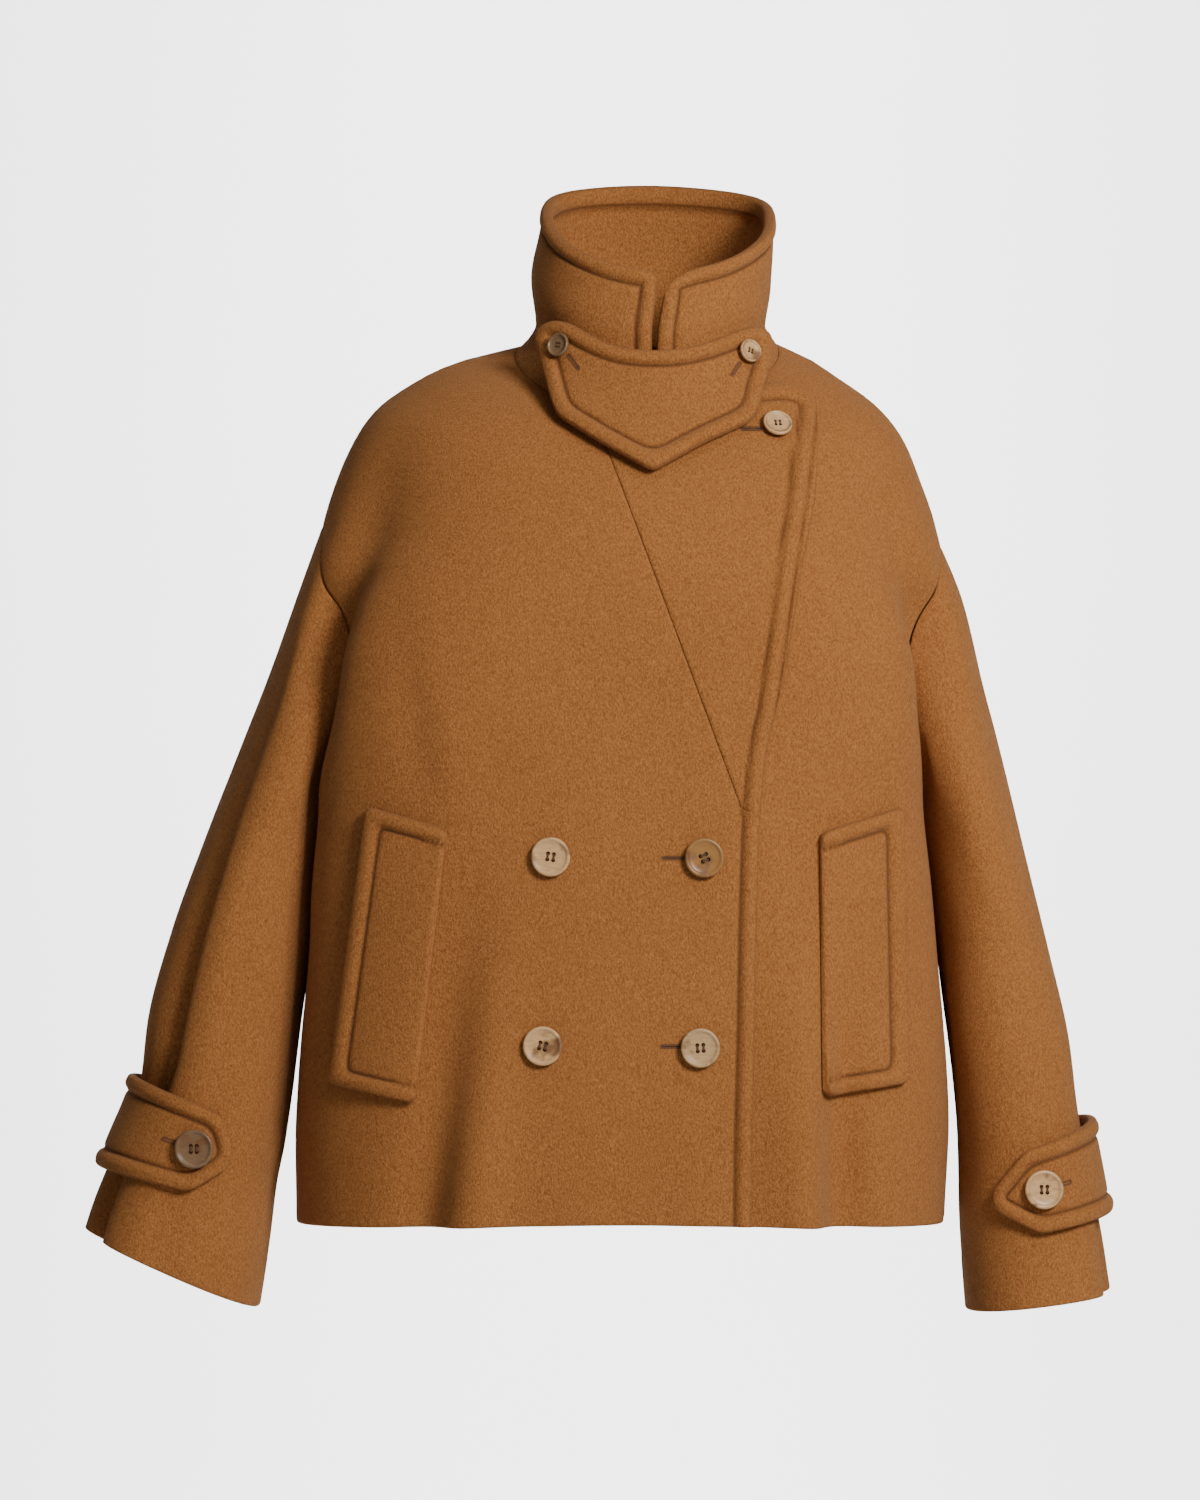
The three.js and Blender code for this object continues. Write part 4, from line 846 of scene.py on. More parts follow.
@dataclass(frozen=True)
class HornFinish:
    """Polished horn with brown clouds and fine streaks."""

    name: str
    pale: tuple[float, float, float, float] = (0.50, 0.35, 0.18, 1)
    brown: tuple[float, float, float, float] = (0.16, 0.065, 0.025, 1)
    share: float = 0.5
    shift: tuple[float, float, float] = (0, 0, 0)
    cloud_scale: float = 62
    streak_scale: float = 160
    streak: tuple[float, float, float, float] = (0.30, 0.17, 0.07, 1)
    rim: tuple[float, float, float, float] = (0.20, 0.095, 0.035, 1)

    def make(self) -> bpy.types.Material:
        """Material of the horn.

        Returns:
            The finished material.
        """
        graph = Graph(self.name)
        place = graph.coordinates("Object")
        moved = graph.node("ShaderNodeMapping", {}, {"Vector": place, "Location": self.shift})
        brown_part = 0.26 * self.share
        clouds = graph.noise(moved, self.cloud_scale, 2.5, 0.55).step(0.60 - brown_part, 0.76 - brown_part)
        streaks = graph.noise(graph.stretched(moved, (1, 1, 4), (0, 0.7, 0)), self.streak_scale, 3, 0.6)
        colour = graph.blend(streaks.step(0.35, 0.75) * 0.45, self.pale, self.streak)
        colour = graph.blend(clouds * 0.85, colour, self.brown)
        # Colour turns to the darker rim brown where the surface turns edge-on to the camera
        steep = graph.node("ShaderNodeLayerWeight", {}, {"Blend": 0.35}, "Facing")
        colour = graph.blend(steep.step(0.08, 0.6) * 0.9, colour, self.rim)
        return graph.dress({
            "Base Color": colour,
            "Roughness": clouds * 0.08 + 0.32,
            "Specular IOR Level": 0.3,
            "Coat Weight": 0.1,
            "Coat Roughness": 0.2,
            "Normal": graph.bump(streaks, 0.08, 0.0004),
        })


@dataclass(frozen=True)
class ThreadFinish:
    """Twisted sewing thread."""

    name: str
    colour: tuple[float, float, float, float]

    def make(self) -> bpy.types.Material:
        """Material of the thread.

        Returns:
            The finished material.
        """
        graph = Graph(self.name)
        place = graph.coordinates("Object")
        twist = graph.noise(graph.stretched(place, (1, 1, 3), (0.4, 0.3, 0)), 2400, 2, 0.5)
        shade = tuple(0.55 * channel for channel in self.colour[:3]) + (1,)
        return graph.dress({
            "Base Color": graph.blend(twist.step(0.3, 0.7), shade, self.colour),
            "Roughness": 0.8,
            "Normal": graph.bump(twist, 0.5, 0.0003),
        })


def panel_rows(body: BodyForm, armhole: Armhole) -> dict[str, Array]:
    """Rows of a panel at its side edge: shoulder, armhole, and side seam below it.

    Args:
        body: the body's cloth.
        armhole: the armhole beside the panel.

    Returns:
        Side height, level, swing, and how far a seam gap goes aside and up, for each row.
    """
    shoulder = stops_between(SEAM_STOPS, (0,), np.array([body.foot - armhole.top]), 24)[0][:-1]
    around = np.linspace(0, math.pi, 41)[:-1]
    below = stops_between((0,), (0, 0.4, 1.0, 1.9, 3.2), np.array([armhole.under - body.hem]), 60)[0]
    level = np.concatenate((
        body.foot - shoulder,
        mix(armhole.top, armhole.under, around / math.pi),
        armhole.under - below,
    ))
    side = level.copy()
    arc = slice(len(shoulder), len(shoulder) + len(around))
    side[arc] = mix(armhole.top, armhole.under, (1 - np.cos(around)) / 2)
    swing, above = np.zeros_like(level), np.zeros_like(level)
    swing[arc], above[arc] = np.sin(around), np.cos(around)
    above[arc.stop] = -1
    aside = np.ones_like(level)
    aside[arc.start + 1 : arc.stop] = swing[arc.start + 1 : arc.stop]
    return {"side": side, "level": level, "swing": swing, "aside": aside, "above": above}


def panel_edge(
    body: BodyForm, rows: dict[str, Array], direction: int, middle: float, swing: float,
) -> tuple[Array, Array]:
    """Turn and side height of a panel's edge, half a seam gap off the seam.

    Args:
        body: the body's cloth.
        rows: the rows of panel_rows.
        direction: 1 or -1, the way off the seam.
        middle: turn of the side line, in degrees.
        swing: swing of the armhole off it, in degrees.

    Returns:
        Turn and side height of each row.
    """
    turn = middle + direction * swing * rows["swing"]
    a, b = body.point(turn + 0.5, rows["side"]), body.point(turn - 0.5, rows["side"])
    trim = SEAM_GAP / 2 * rows["aside"] / np.linalg.norm(a - b, axis=-1)
    return turn + direction * trim, rows["side"] + SEAM_GAP / 2 * rows["above"]


@dataclass
class Dresser:
    """Attaches finished pieces to the root, hides the nodes that they stand for and logs them."""

    slot: str = "wool"

    def cloth(self, piece: bpy.types.Object, cut: tuple[float, float, float], held: str,
              rests_on: Sequence[str] = (), node: str = "") -> None:
        """Let a piece of cloth stand for its node.

        Args:
            piece: the piece.
            cut: width, length and area of its flat cloth.
            held: not used.
            rests_on: not used.
            node: the node that it replaces.
        """
        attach(piece, "root")
        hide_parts(node)
        width, length, area = cut
        min(area, width * length)
        faces = sum(len(face.vertices) - 2 for face in piece.data.polygons)
        LOG.info("%s: cut %.3f x %.3f m, %.4f m2, %d triangles", piece.name, width, length, area, faces)

    def other(self, piece: bpy.types.Object, slot: str, nodes: Sequence[str] = ()) -> None:
        """Let a piece of another kind ride on the coat, and stand for nodes where it does.

        Args:
            piece: the piece.
            slot: not used.
            nodes: nodes that it stands for.
        """
        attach(piece, "root")
        if nodes:
            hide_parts(*nodes)
        LOG.info("%s: %d faces", piece.name, len(piece.data.polygons))


@dataclass
class BodyPanels:
    """Back, fronts and lapel."""

    body: BodyForm
    dresser: Dresser
    wool: bpy.types.Material
    seam_top: tuple[float, float] = (-48.5, -49)
    seam_end: tuple[float, float] = (59.5, -341)
    lapel_end: tuple[float, float] = (76, -350)
    under_top: tuple[float, float] = (-58, -52)
    under_hem: tuple[float, float] = (-98, -645)
    extra_rows: tuple[float, ...] = (0.25, 0.5, 0.75)
    front_spans: int = 46
    under_spans: int = 62
    back_spans: int = 104
    lapel_spans: tuple[int, int] = (56, 26)
    under_stops: tuple[float, ...] = (0, 0.6, 1.5, 3)
    row_bend: float = 1.5
    neckline_spots: int = 10
    edge_top: float = -45.0
    lapel_corner: tuple[tuple[float, float], ...] = ((74, -31.7), (92, -29.5), (104, -31), (113, -38))
    edge: Curves = field(default_factory=lambda: Curves("height x", (
        (-45, 116.8), (-67, 117), (-116, 113.7), (-165, 105), (-210, 98), (-250, 90.8), (-270, 85.8),
        (-291, 80.6), (-311, 77.4), (-329, 75.4), (-359, 73.4), (-425, 71.2), (-514, 69.5), (-580, 67.8),
        (-648, 67),
    )))

    def seam_x(self, z: Array) -> Array:
        """Slanting seam between the right front and the lapel, as x by height."""
        share = (z - self.seam_top[1]) / (self.seam_end[1] - self.seam_top[1])
        return mix(self.seam_top[0], self.seam_end[0], share)

    def right_edge(self, z: Array) -> Array:
        """Front edge of the right front, as x by height.

        Args:
            z: heights.

        Returns:
            The places across.
        """
        share = (self.seam_end[1] - z) / (self.seam_end[1] - self.lapel_end[1])
        lower = np.where(share < 1, mix(self.seam_end[0], self.lapel_end[0], share), self.edge.at(z, "x"))
        return np.where(z > self.seam_end[1], self.seam_x(z), lower)

    def left_edge(self, z: Array) -> Array:
        """Hidden edge of the left front, as x by height."""
        share = (z - self.under_top[1]) / (self.under_hem[1] - self.under_top[1])
        return mix(self.under_top[0], self.under_hem[0], share)

    def rim_lifts(self, base: Array, drop: Array) -> tuple[Array, Array]:
        """Lifts beside the neck seam and at the hem, for the outer and the inner face.

        Args:
            base: points on the body's cloth.
            drop: how far the panel lies below it.

        Returns:
            The lifts of both faces.
        """
        down = measured(base, 0)
        up = down[-1:] - down
        top = EdgeRoll.seam(down) - drop
        top = top - (LAYER / 2) * (1 - EdgeRoll.quarter(up * HEM_ROUNDING))
        under = -drop - LAYER + (LAYER / 2 - 0.05) * (1 - EdgeRoll.quarter(up * HEM_ROUNDING))
        return top, under

    def right_front(self) -> Patch:
        """Outer front, with its rolled edge below the lapel.

        Returns:
            The cloth.
        """
        body = self.body
        rows = panel_rows(body, RIGHT_ARMHOLE)
        level = rows["level"].copy()
        cross = int(np.argmin(np.abs(level - self.seam_end[1])))
        level[cross], level[cross + 1] = self.seam_end[1], self.lapel_end[1]
        extra = np.array(self.extra_rows)
        between = mix(level[cross], level[cross + 1], extra)
        rows = {key: np.insert(values, cross + 1, mix(values[cross], values[cross + 1], extra))
                for key, values in rows.items()}
        level = np.insert(level, cross + 1, between)
        banded = (np.arange(len(level)) > cross).astype(float)[:, None]
        edge_turn = body.crossing(level, self.right_edge) - (1 - banded[:, 0]) * 0.06
        end_turn, end_side = panel_edge(body, rows, 1, -90, RIGHT_ARMHOLE.forward)

        def spots(share: Array) -> tuple[Array, Array]:
            """Turn and side height at shares of the way from the front edge."""
            return (mix(edge_turn[:, None], end_turn[:, None], share),
                    mix(level[:, None], end_side[:, None], share ** self.row_bend))

        shares, away = along_rows(
            lambda share: body.point(*spots(share)), len(level),
            lambda total: stops_between(EDGE_STOPS, SEAM_STOPS, total, self.front_spans))
        turn, side = spots(shares)
        base, out = body.point(turn, side), body.out(turn, side)
        top, under = self.rim_lifts(base, np.zeros_like(turn))
        back_away = away[:, -1:] - away
        top = top + EdgeRoll.seam(back_away)
        off_line = line_distance(base[..., [0, 2]], self.free_edge(self.body.hem - 20))
        from_edge = np.maximum(away * banded, off_line)
        beside_seam = (1 - banded) * (level > self.seam_end[1])[:, None]
        banded = banded * (away < EDGE_REACH) + beside_seam * (from_edge < EDGE_REACH)
        top = top + mix(EdgeRoll.seam(away), EdgeRoll.outer(from_edge, LAYER), banded)
        under = under + banded * (EdgeRoll.inner(from_edge, LAYER) + LAYER)
        # Last argument: painted shade in the stitched groove and along the edge
        return Patch.of(base, out, top, under, banded * EdgeRoll.groove(from_edge))

    def free_edge(self, lowest: float) -> Array:
        """Front edge below the lapel's corner as a flat line, down to a height."""
        heights = np.arange(self.edge_top, lowest, -5.0)
        return np.stack((self.edge.at(heights, "x"), heights), -1)

    def left_front(self) -> Patch:
        """Under front, dropped below the right one.

        Returns:
            The cloth.
        """
        body = self.body
        rows = panel_rows(body, LEFT_ARMHOLE)
        level = rows["level"]
        edge_turn = body.crossing(level, self.left_edge)
        end_turn, end_side = panel_edge(body, rows, -1, 90, LEFT_ARMHOLE.forward)

        def spots(share: Array) -> tuple[Array, Array]:
            """Turn and side height at shares of the way from the hidden edge."""
            return (mix(edge_turn[:, None], end_turn[:, None], share),
                    mix(level[:, None], end_side[:, None], share ** self.row_bend))

        shares, away = along_rows(
            lambda share: body.point(*spots(share)), len(level),
            lambda total: stops_between(self.under_stops, SEAM_STOPS, total, self.under_spans))
        turn, side = spots(shares)
        base, out = body.point(turn, side), body.out(turn, side)
        top, under = self.rim_lifts(base, body.cover_drop(turn, side))
        top = top + EdgeRoll.seam(away[:, -1:] - away)
        return Patch.of(base, out, top, under, np.zeros_like(turn))

    def back(self) -> Patch:
        """Back, from one armhole to the other.

        Returns:
            The cloth.
        """
        body = self.body
        left_rows, right_rows = panel_rows(body, LEFT_ARMHOLE), panel_rows(body, RIGHT_ARMHOLE)
        left_turn, left_side = panel_edge(body, left_rows, 1, 90, LEFT_ARMHOLE.backward)
        right_turn, right_side = panel_edge(body, right_rows, -1, 270, RIGHT_ARMHOLE.backward)

        def spots(share: Array) -> tuple[Array, Array]:
            """Turn and side height at shares of the way from the wearer's left.

            Args:
                share: shares of the way, 0 to 1.

            Returns:
                The turns and the side heights.
            """
            near_seam = np.abs(2 * share - 1) ** self.row_bend
            level = mix(left_rows["level"][:, None], right_rows["level"][:, None], share)
            side = mix(left_side[:, None], right_side[:, None], share)
            return mix(left_turn[:, None], right_turn[:, None], share), mix(level, side, near_seam)

        shares, away = along_rows(
            lambda share: body.point(*spots(share)), len(left_turn),
            lambda total: stops_between(SEAM_STOPS, SEAM_STOPS, total, self.back_spans))
        turn, side = spots(shares)
        base, out = body.point(turn, side), body.out(turn, side)
        top, under = self.rim_lifts(base, np.zeros_like(turn))
        top = top + EdgeRoll.seam(away) + EdgeRoll.seam(away[:, -1:] - away)
        return Patch.of(base, out, top, under, np.zeros_like(turn))

    def lapel_lines(self) -> tuple[Array, Array, Array]:
        """Flat lines of the lapel: its top, its seam and its free edge.

        Returns:
            The three lines.
        """
        body = self.body
        foot = np.array([body.foot])
        start_turn = body.crossing(foot, self.seam_x)
        turns = mix(start_turn, 53.0, np.linspace(0, 0.75, self.neckline_spots))
        neckline = body.point(turns, np.full_like(turns, body.foot))[:, [0, 2]] - (0, 1.2)
        neckline[0, 0] = self.seam_x(neckline[0, 1]) + SEAM_GAP
        corner = self.rounded(np.array(self.lapel_corner, float))
        top = np.concatenate((neckline, corner))
        seam = np.array([top[0], (self.seam_end[0] + SEAM_GAP, self.seam_end[1])])
        heights = np.linspace(self.edge_top, self.lapel_end[1] + 2 * SEAM_GAP, 60)
        edge = np.concatenate((corner[-1:], np.stack((self.edge.at(heights, "x"), heights), -1)))
        return top, seam, edge

    @staticmethod
    def rounded(line: Array) -> Array:
        """Line with its corners cut back twice.

        Args:
            line: points of the line.

        Returns:
            The new line.
        """
        for _ in range(2):
            first, last = line[:1], line[-1:]
            early, late = mix(line[:-1], line[1:], 0.25), mix(line[:-1], line[1:], 0.75)
            middle = np.stack((early, late), 1).reshape(-1, 2)[1:-1]
            line = np.concatenate((first, middle, last))
        return line

    def lapel(self) -> Patch:
        """Wedge past the slanting seam, with its rolled edge.

        Returns:
            The cloth.
        """
        top, seam, edge = self.lapel_lines()
        corner = top[self.neckline_spots:]
        outline = np.concatenate((corner, edge[1:]))
        length = float(np.linalg.norm(seam[1] - seam[0]))
        drops = stops_between(EDGE_STOPS, SEAM_STOPS[:3], np.array([length]), self.lapel_spans[0])[0]
        share = drops / length
        left, right = along_line(seam, share), along_line(edge, share)
        width = np.linalg.norm(right - left, axis=-1)
        span = np.maximum(width, 1.0)
        places = stops_between(SEAM_STOPS, EDGE_STOPS, span, self.lapel_spans[1]) / span[:, None]
        straight = mix(left[:, None], right[:, None], places[..., None])
        chord = mix(top[:1][:, None], top[-1:][:, None], places[..., None])
        bow = along_line(top, places) - chord
        flat = straight + bow * ((1 - share) ** 3)[:, None, None]
        away = line_distance(flat, np.concatenate((outline, self.free_edge(-400)[1:])))
        from_seam = places * width[:, None]
        turn, side = self.body.front_spot(flat[..., 0], flat[..., 1])
        base, out = self.body.point(turn, side), self.body.out(turn, side)
        rest = LAID_GAP + LAYER - 0.1 - self.body.cover_drop(turn, side)
        top_lift = rest + EdgeRoll.outer(away, LAYER) + EdgeRoll.seam(from_seam)
        under = rest + EdgeRoll.inner(away, LAYER)
        # Last argument: painted shade in the stitched groove and along the edge
        return Patch.of(base, out, top_lift, under, EdgeRoll.groove(away))

    def build(self) -> list[Array]:
        """Make the four pieces, and give the lines of their stitched grooves.

        Returns:
            The lines of the grooves.
        """
        front, lapel = self.right_front(), self.lapel()
        for name, patch in (
            ("back", self.back()),
            ("right_front", front),
            ("left_front", self.left_front()),
            ("right_lapel", lapel),
        ):
            piece = Maker.cloth(f"wool_{name}", [patch], self.wool)
            self.dresser.cloth(piece, patch.cut(), "hung", node=name)
        edge = lapel.outer.shape[1] - 1 - GROOVE
        corner = np.concatenate((lapel.outer[GROOVE, :edge], lapel.outer[GROOVE:, edge]))
        depth = np.concatenate((lapel.groove[GROOVE, :edge], lapel.groove[GROOVE:, edge]))
        return runs(front.outer[:, GROOVE], front.groove[:, GROOVE]) + runs(corner, depth)


def runs(line: Array, groove: Array) -> list[Array]:
    """Stretches of a line that lie in a stitched groove.

    Args:
        line: points of the line.
        groove: how deep in a groove each point is.

    Returns:
        The stretches.
    """
    inside = np.concatenate(([False], groove > 0.8, [False]))
    turns = np.flatnonzero(inside[1:] != inside[:-1])
    return [line[a:b] for a, b in zip(turns[::2], turns[1::2]) if b - a > 2]


def along_line(line: Array, share: Array) -> Array:
    """Points of a flat line at shares of its length.

    Args:
        line: points of the line.
        share: shares of the way, 0 to 1.

    Returns:
        The points.
    """
    lengths = measured(line[None], 1)[0]
    wanted = np.asarray(share) * lengths[-1]
    return np.stack([np.interp(wanted, lengths, line[:, k]) for k in range(line.shape[1])], -1)


def line_distance(points: Array, line: Array, sides: Array | None = None) -> Array:
    """Distance from flat points to the nearest side of a line.

    Args:
        points: flat points.
        line: corners of the line.
        sides: which of its sides count, or None for all.

    Returns:
        The distances.
    """
    nearest = np.full(points.shape[:-1], np.inf)
    for k in range(len(line) - 1):
        if sides is not None and not sides[k]:
            continue
        start, side = line[k], line[k + 1] - line[k]
        share = np.clip(((points - start) @ side) / max(side @ side, 1e-9), 0, 1)
        nearest = np.minimum(nearest, np.linalg.norm(points - start - share[..., None] * side, axis=-1))
    return nearest


@dataclass
class SleeveForm:
    """One sleeve's cloth as a surface, from its armhole to its hem."""

    body: BodyForm
    rows: tuple[tuple[float, ...], ...]
    pleat_rows: tuple[tuple[float, ...], ...]
    folds: tuple[tuple[float, ...], ...]
    armhole: Armhole
    direction: int
    joined: float = 95.0
    gap: float = 4.5

    def __post_init__(self) -> None:
        """Measure the sleeve's length and fit its curves."""
        table = np.array(self.rows, float)
        middle = np.stack((table[:, 0] + table[:, 2], table[:, 1] + table[:, 3]), -1) / 2
        along = measured(middle[None], 1)[0]
        self.length = float(along[-1])
        columns = "along outer_x outer_z inner_x inner_z middle_y depth square"
        self.curves = Curves(columns, np.concatenate((along[:, None], table), 1).tolist())
        self.pleat = Curves("share around depth", self.pleat_rows)

    def plain(self, around: Array, along: Array) -> Array:
        """Points of the plain sleeve: around is 0 on its outer side, 90 in front, 180 at the body.

        Args:
            around: degrees round the sleeve.
            along: length down the sleeve.

        Returns:
            The points.
        """
        at = self.curves.at
        c, s = np.cos(np.radians(around)), np.sin(np.radians(around))
        square = at(along, "square")
        reach = (np.abs(c) ** square + np.abs(s) ** square) ** (-1 / square)
        share = 0.5 + 0.5 * reach * c
        return np.stack((
            mix(at(along, "inner_x"), at(along, "outer_x"), share),
            at(along, "middle_y") - at(along, "depth") * reach * s,
            mix(at(along, "inner_z"), at(along, "outer_z"), share),
        ), -1)

    def seam(self, around: Array) -> Array:
        """Points of the armhole's seam, on the body's cloth.

        Args:
            around: degrees round the sleeve.

        Returns:
            The points.
        """
        s = np.sin(np.radians(around))
        side = mix(self.armhole.top, self.armhole.under, (1 - np.cos(np.radians(around))) / 2)
        swing = np.where(s > 0, self.armhole.forward, self.armhole.backward)
        return self.body.point(self.direction * (90 - swing * s), side)

    def clear_of_body(self, point: Array, along: Array) -> Array:
        """Points moved out where they would come too near to the body's cloth.

        Args:
            point: points, in millimetres.
            along: length down the sleeve.

        Returns:
            The moved points.
        """
        low, high = np.full(point.shape[:-1], 40.0), np.full(point.shape[:-1], 140.0)
        height = np.maximum(self.body.hem, point[..., 2])
        for _ in range(20):
            turn = (low + high) / 2
            beside = self.body.point(self.direction * turn, height)
            ahead = beside[..., 1] < point[..., 1]
            low, high = np.where(ahead, turn, low), np.where(ahead, high, turn)
        near = self.direction * (point[..., 0] - beside[..., 0]) - self.gap * np.clip(along / 25, 0, 1)
        moved = 0.5 * (near + np.sqrt(near * near + 9)) - near
        shift = np.zeros_like(point)
        shift[..., 0] = self.direction * moved * ease(along / 6)
        return point + shift

    def smooth(self, around: Array, along: Array) -> Array:
        """Points of the sleeve without its pleat, fitted to the armhole and beside the body.

        Args:
            around: degrees round the sleeve.
            along: length down the sleeve.

        Returns:
            The points.
        """
        around, along = np.broadcast_arrays(np.asarray(around, float), np.asarray(along, float))
        point = self.plain(around, along)
        shift = self.seam(around) - self.plain(around, np.zeros_like(along))
        point = point + shift * (1 - ease(np.maximum(0, along) / self.joined))[..., None]
        facing = ease((-np.cos(np.radians(around)) + 0.55) / 0.5)
        facing = np.where(point[..., 2] < self.body.hem - 25, 0, facing)
        return mix(point, self.clear_of_body(point, along), facing[..., None])

    def turned(self, around: Array, along: Array) -> Array:
        """Degrees past the pleat's valley."""
        return (around + 180) % 360 - 180 - self.pleat.held(along / self.length, "around")

    def sink(self, around: Array, along: Array) -> Array:
        """How deep the cloth lies in the pleat and in the soft folds.

        Args:
            around: degrees round the sleeve.
            along: length down the sleeve.

        Returns:
            The depths.
        """
        turned = self.turned(around, along)
        width = np.where(turned > 0, 5.5, 15)
        share = along / self.length
        depth = self.pleat.held(share, "depth") * (bell(turned, width) - 0.12 * bell(turned - 21, 8))
        for middle, centre, spread, length, height in self.folds:
            off = (around - middle + 180) % 360 - 180
            depth = depth - height * bell(off + 60 * (share - centre), spread) * bell(share - centre, length)
        return depth

    def point(self, around: Array, along: Array) -> Array:
        """Points on the outer face of the sleeve's cloth.

        Args:
            around: degrees round the sleeve.
            along: length down the sleeve.

        Returns:
            The points.
        """
        over = 0.5 * self.pleat.held(along / self.length, "depth")
        warped = around - over * bell(self.turned(around, along) - 9, 6)
        out = self.out(self.smooth, warped, along)
        return self.smooth(warped, along) - out * self.sink(around, along)[..., None]

    def out(self, surface: Surface, around: Array, along: Array) -> Array:
        """Ways out of a surface of the sleeve."""
        out = way_out(surface, around, np.maximum(1.5, along), 1.0, 1.5)
        return out * (1 if self.direction > 0 else -1)

    def over(self, around: Array, along: Array, lift: Array) -> Array:
        """Points lifted off the sleeve without its pleat, as on a strap that bridges it."""
        out = self.out(self.smooth, around, along)
        return self.smooth(around, along) + out * np.asarray(lift)[..., None]

    def patch(self) -> Patch:
        """Cloth of the whole sleeve.

        Returns:
            The cloth.
        """
        valley = float(self.pleat.held(0.85, "around"))
        fine = valley + np.linspace(-30, 30, 61)
        rest = np.linspace(valley + 30, valley + 330, 112)[1:-1]
        around = np.concatenate((fine, rest, fine[:1] + 360))
        total = self.length - SEAM_GAP / 2
        along = SEAM_GAP / 2 + stops_between(SEAM_STOPS, (0, 0.4, 1.0, 1.9, 3.2), np.array([total]), 92)[0]
        around, along = np.meshgrid(around, along)
        base = self.point(around, along)
        wrapped = np.concatenate((base[:, -2:-1], base, base[:, 1:2]), 1)
        across = wrapped[:, 2:] - wrapped[:, :-2]
        out = unit(np.cross(across, np.gradient(base, axis=0))) * -self.direction
        out = unit(out)
        if np.sum(out * (base - base.mean(1, keepdims=True))) < 0:
            out = -out
        up = total - (along - SEAM_GAP / 2)
        top = EdgeRoll.seam(along) - (LAYER / 2) * (1 - EdgeRoll.quarter(up * HEM_ROUNDING))
        under = -LAYER + (LAYER / 2 - 0.05) * (1 - EdgeRoll.quarter(up * HEM_ROUNDING))
        # Painted shade along the pleat's valley, darker where the pleat is deeper
        creased = np.clip(self.pleat.held((along / self.length), "depth") / 18, 0, 1)
        patch = Patch.of(base, out, top, under, 0.7 * creased * bell(self.turned(around, along) - 1, 3))
        patch.outer[:, -1], patch.inner[:, -1] = patch.outer[:, 0], patch.inner[:, 0]
        return patch


def right_sleeve(body: BodyForm) -> SleeveForm:
    """Form of the wearer's right sleeve.

    Args:
        body: the body's cloth.

    Returns:
        The sleeve.
    """
    return SleeveForm(
        body,
        rows=(
            (-250, -131, -233, -338, 5, 70, 2),
            (-268, -180, -238, -354, 5, 78, 2),
            (-290, -240, -243, -374, 4, 85, 2),
            (-314, -300, -249, -402, 2, 88, 2),
            (-340, -366, -256, -442, -2, 88, 2),
            (-364, -435, -263, -490, -7, 86, 2.05),
            (-381, -502, -268.5, -548, -13, 83, 2.1),
            (-386, -547, -276, -592, -18, 80, 2.15),
            (-403, -592, -283, -623, -22, 78, 2.2),
            (-421, -637, -289, -668, -27, 76, 2.2),
            (-427, -656, -296, -714, -31, 76, 2.2),
        ),
        pleat_rows=((0.08, 44, 0), (0.3, 50, 7), (0.5, 57, 14), (0.66, 60, 20), (0.8, 50, 29),
                    (0.88, 46, 31),
                    (1, 46, 32)),
        folds=(
            (96, 0.42, 16, 0.16, -3.5), (140, 0.5, 14, 0.14, 2.5), (250, 0.45, 16, 0.16, -4),
            (300, 0.55, 16, 0.14, 3), (205, 0.6, 18, 0.14, -2.5), (20, 0.3, 16, 0.14, -2),
            (120, 0.2, 12, 0.09, -2.2), (240, 0.2, 13, 0.1, -2.6),
        ),
        armhole=RIGHT_ARMHOLE,
        direction=-1,
    )


def left_sleeve(body: BodyForm) -> SleeveForm:
    """Form of the wearer's left sleeve.

    Args:
        body: the body's cloth.

    Returns:
        The sleeve.
    """
    return SleeveForm(
        body,
        rows=(
            (208.5, -146, 191, -345, 5, 70, 2),
            (226, -187, 194, -360, 5, 78, 2),
            (245, -255, 198, -384, 4, 85, 2),
            (262, -315, 203, -414, 2, 88, 2),
            (279, -382, 208.5, -452, -2, 88, 2),
            (296, -450, 213, -505, -7, 86, 2.05),
            (311, -517, 219, -560, -13, 83, 2.1),
            (317, -570, 223, -606, -18, 80, 2.15),
            (326, -620, 224.5, -645, -22, 78, 2.2),
            (334, -665, 227, -683, -27, 76, 2.2),
            (339, -702, 229.5, -716, -31, 76, 2.2),
        ),
        pleat_rows=((0.2, 14, 0), (0.4, 18, 5), (0.55, 21, 10), (0.7, 24, 15), (0.85, 28, 20), (1, 34, 24)),
        folds=(
            (90, 0.45, 16, 0.16, -3.5), (135, 0.55, 14, 0.14, 2.5), (250, 0.45, 16, 0.16, -4),
            (300, 0.55, 16, 0.14, 3), (205, 0.6, 18, 0.14, -2.5), (60, 0.3, 14, 0.12, 2),
            (120, 0.2, 12, 0.09, -2.2), (240, 0.2, 13, 0.1, -2.6),
        ),
        armhole=LEFT_ARMHOLE,
        direction=1,
    )


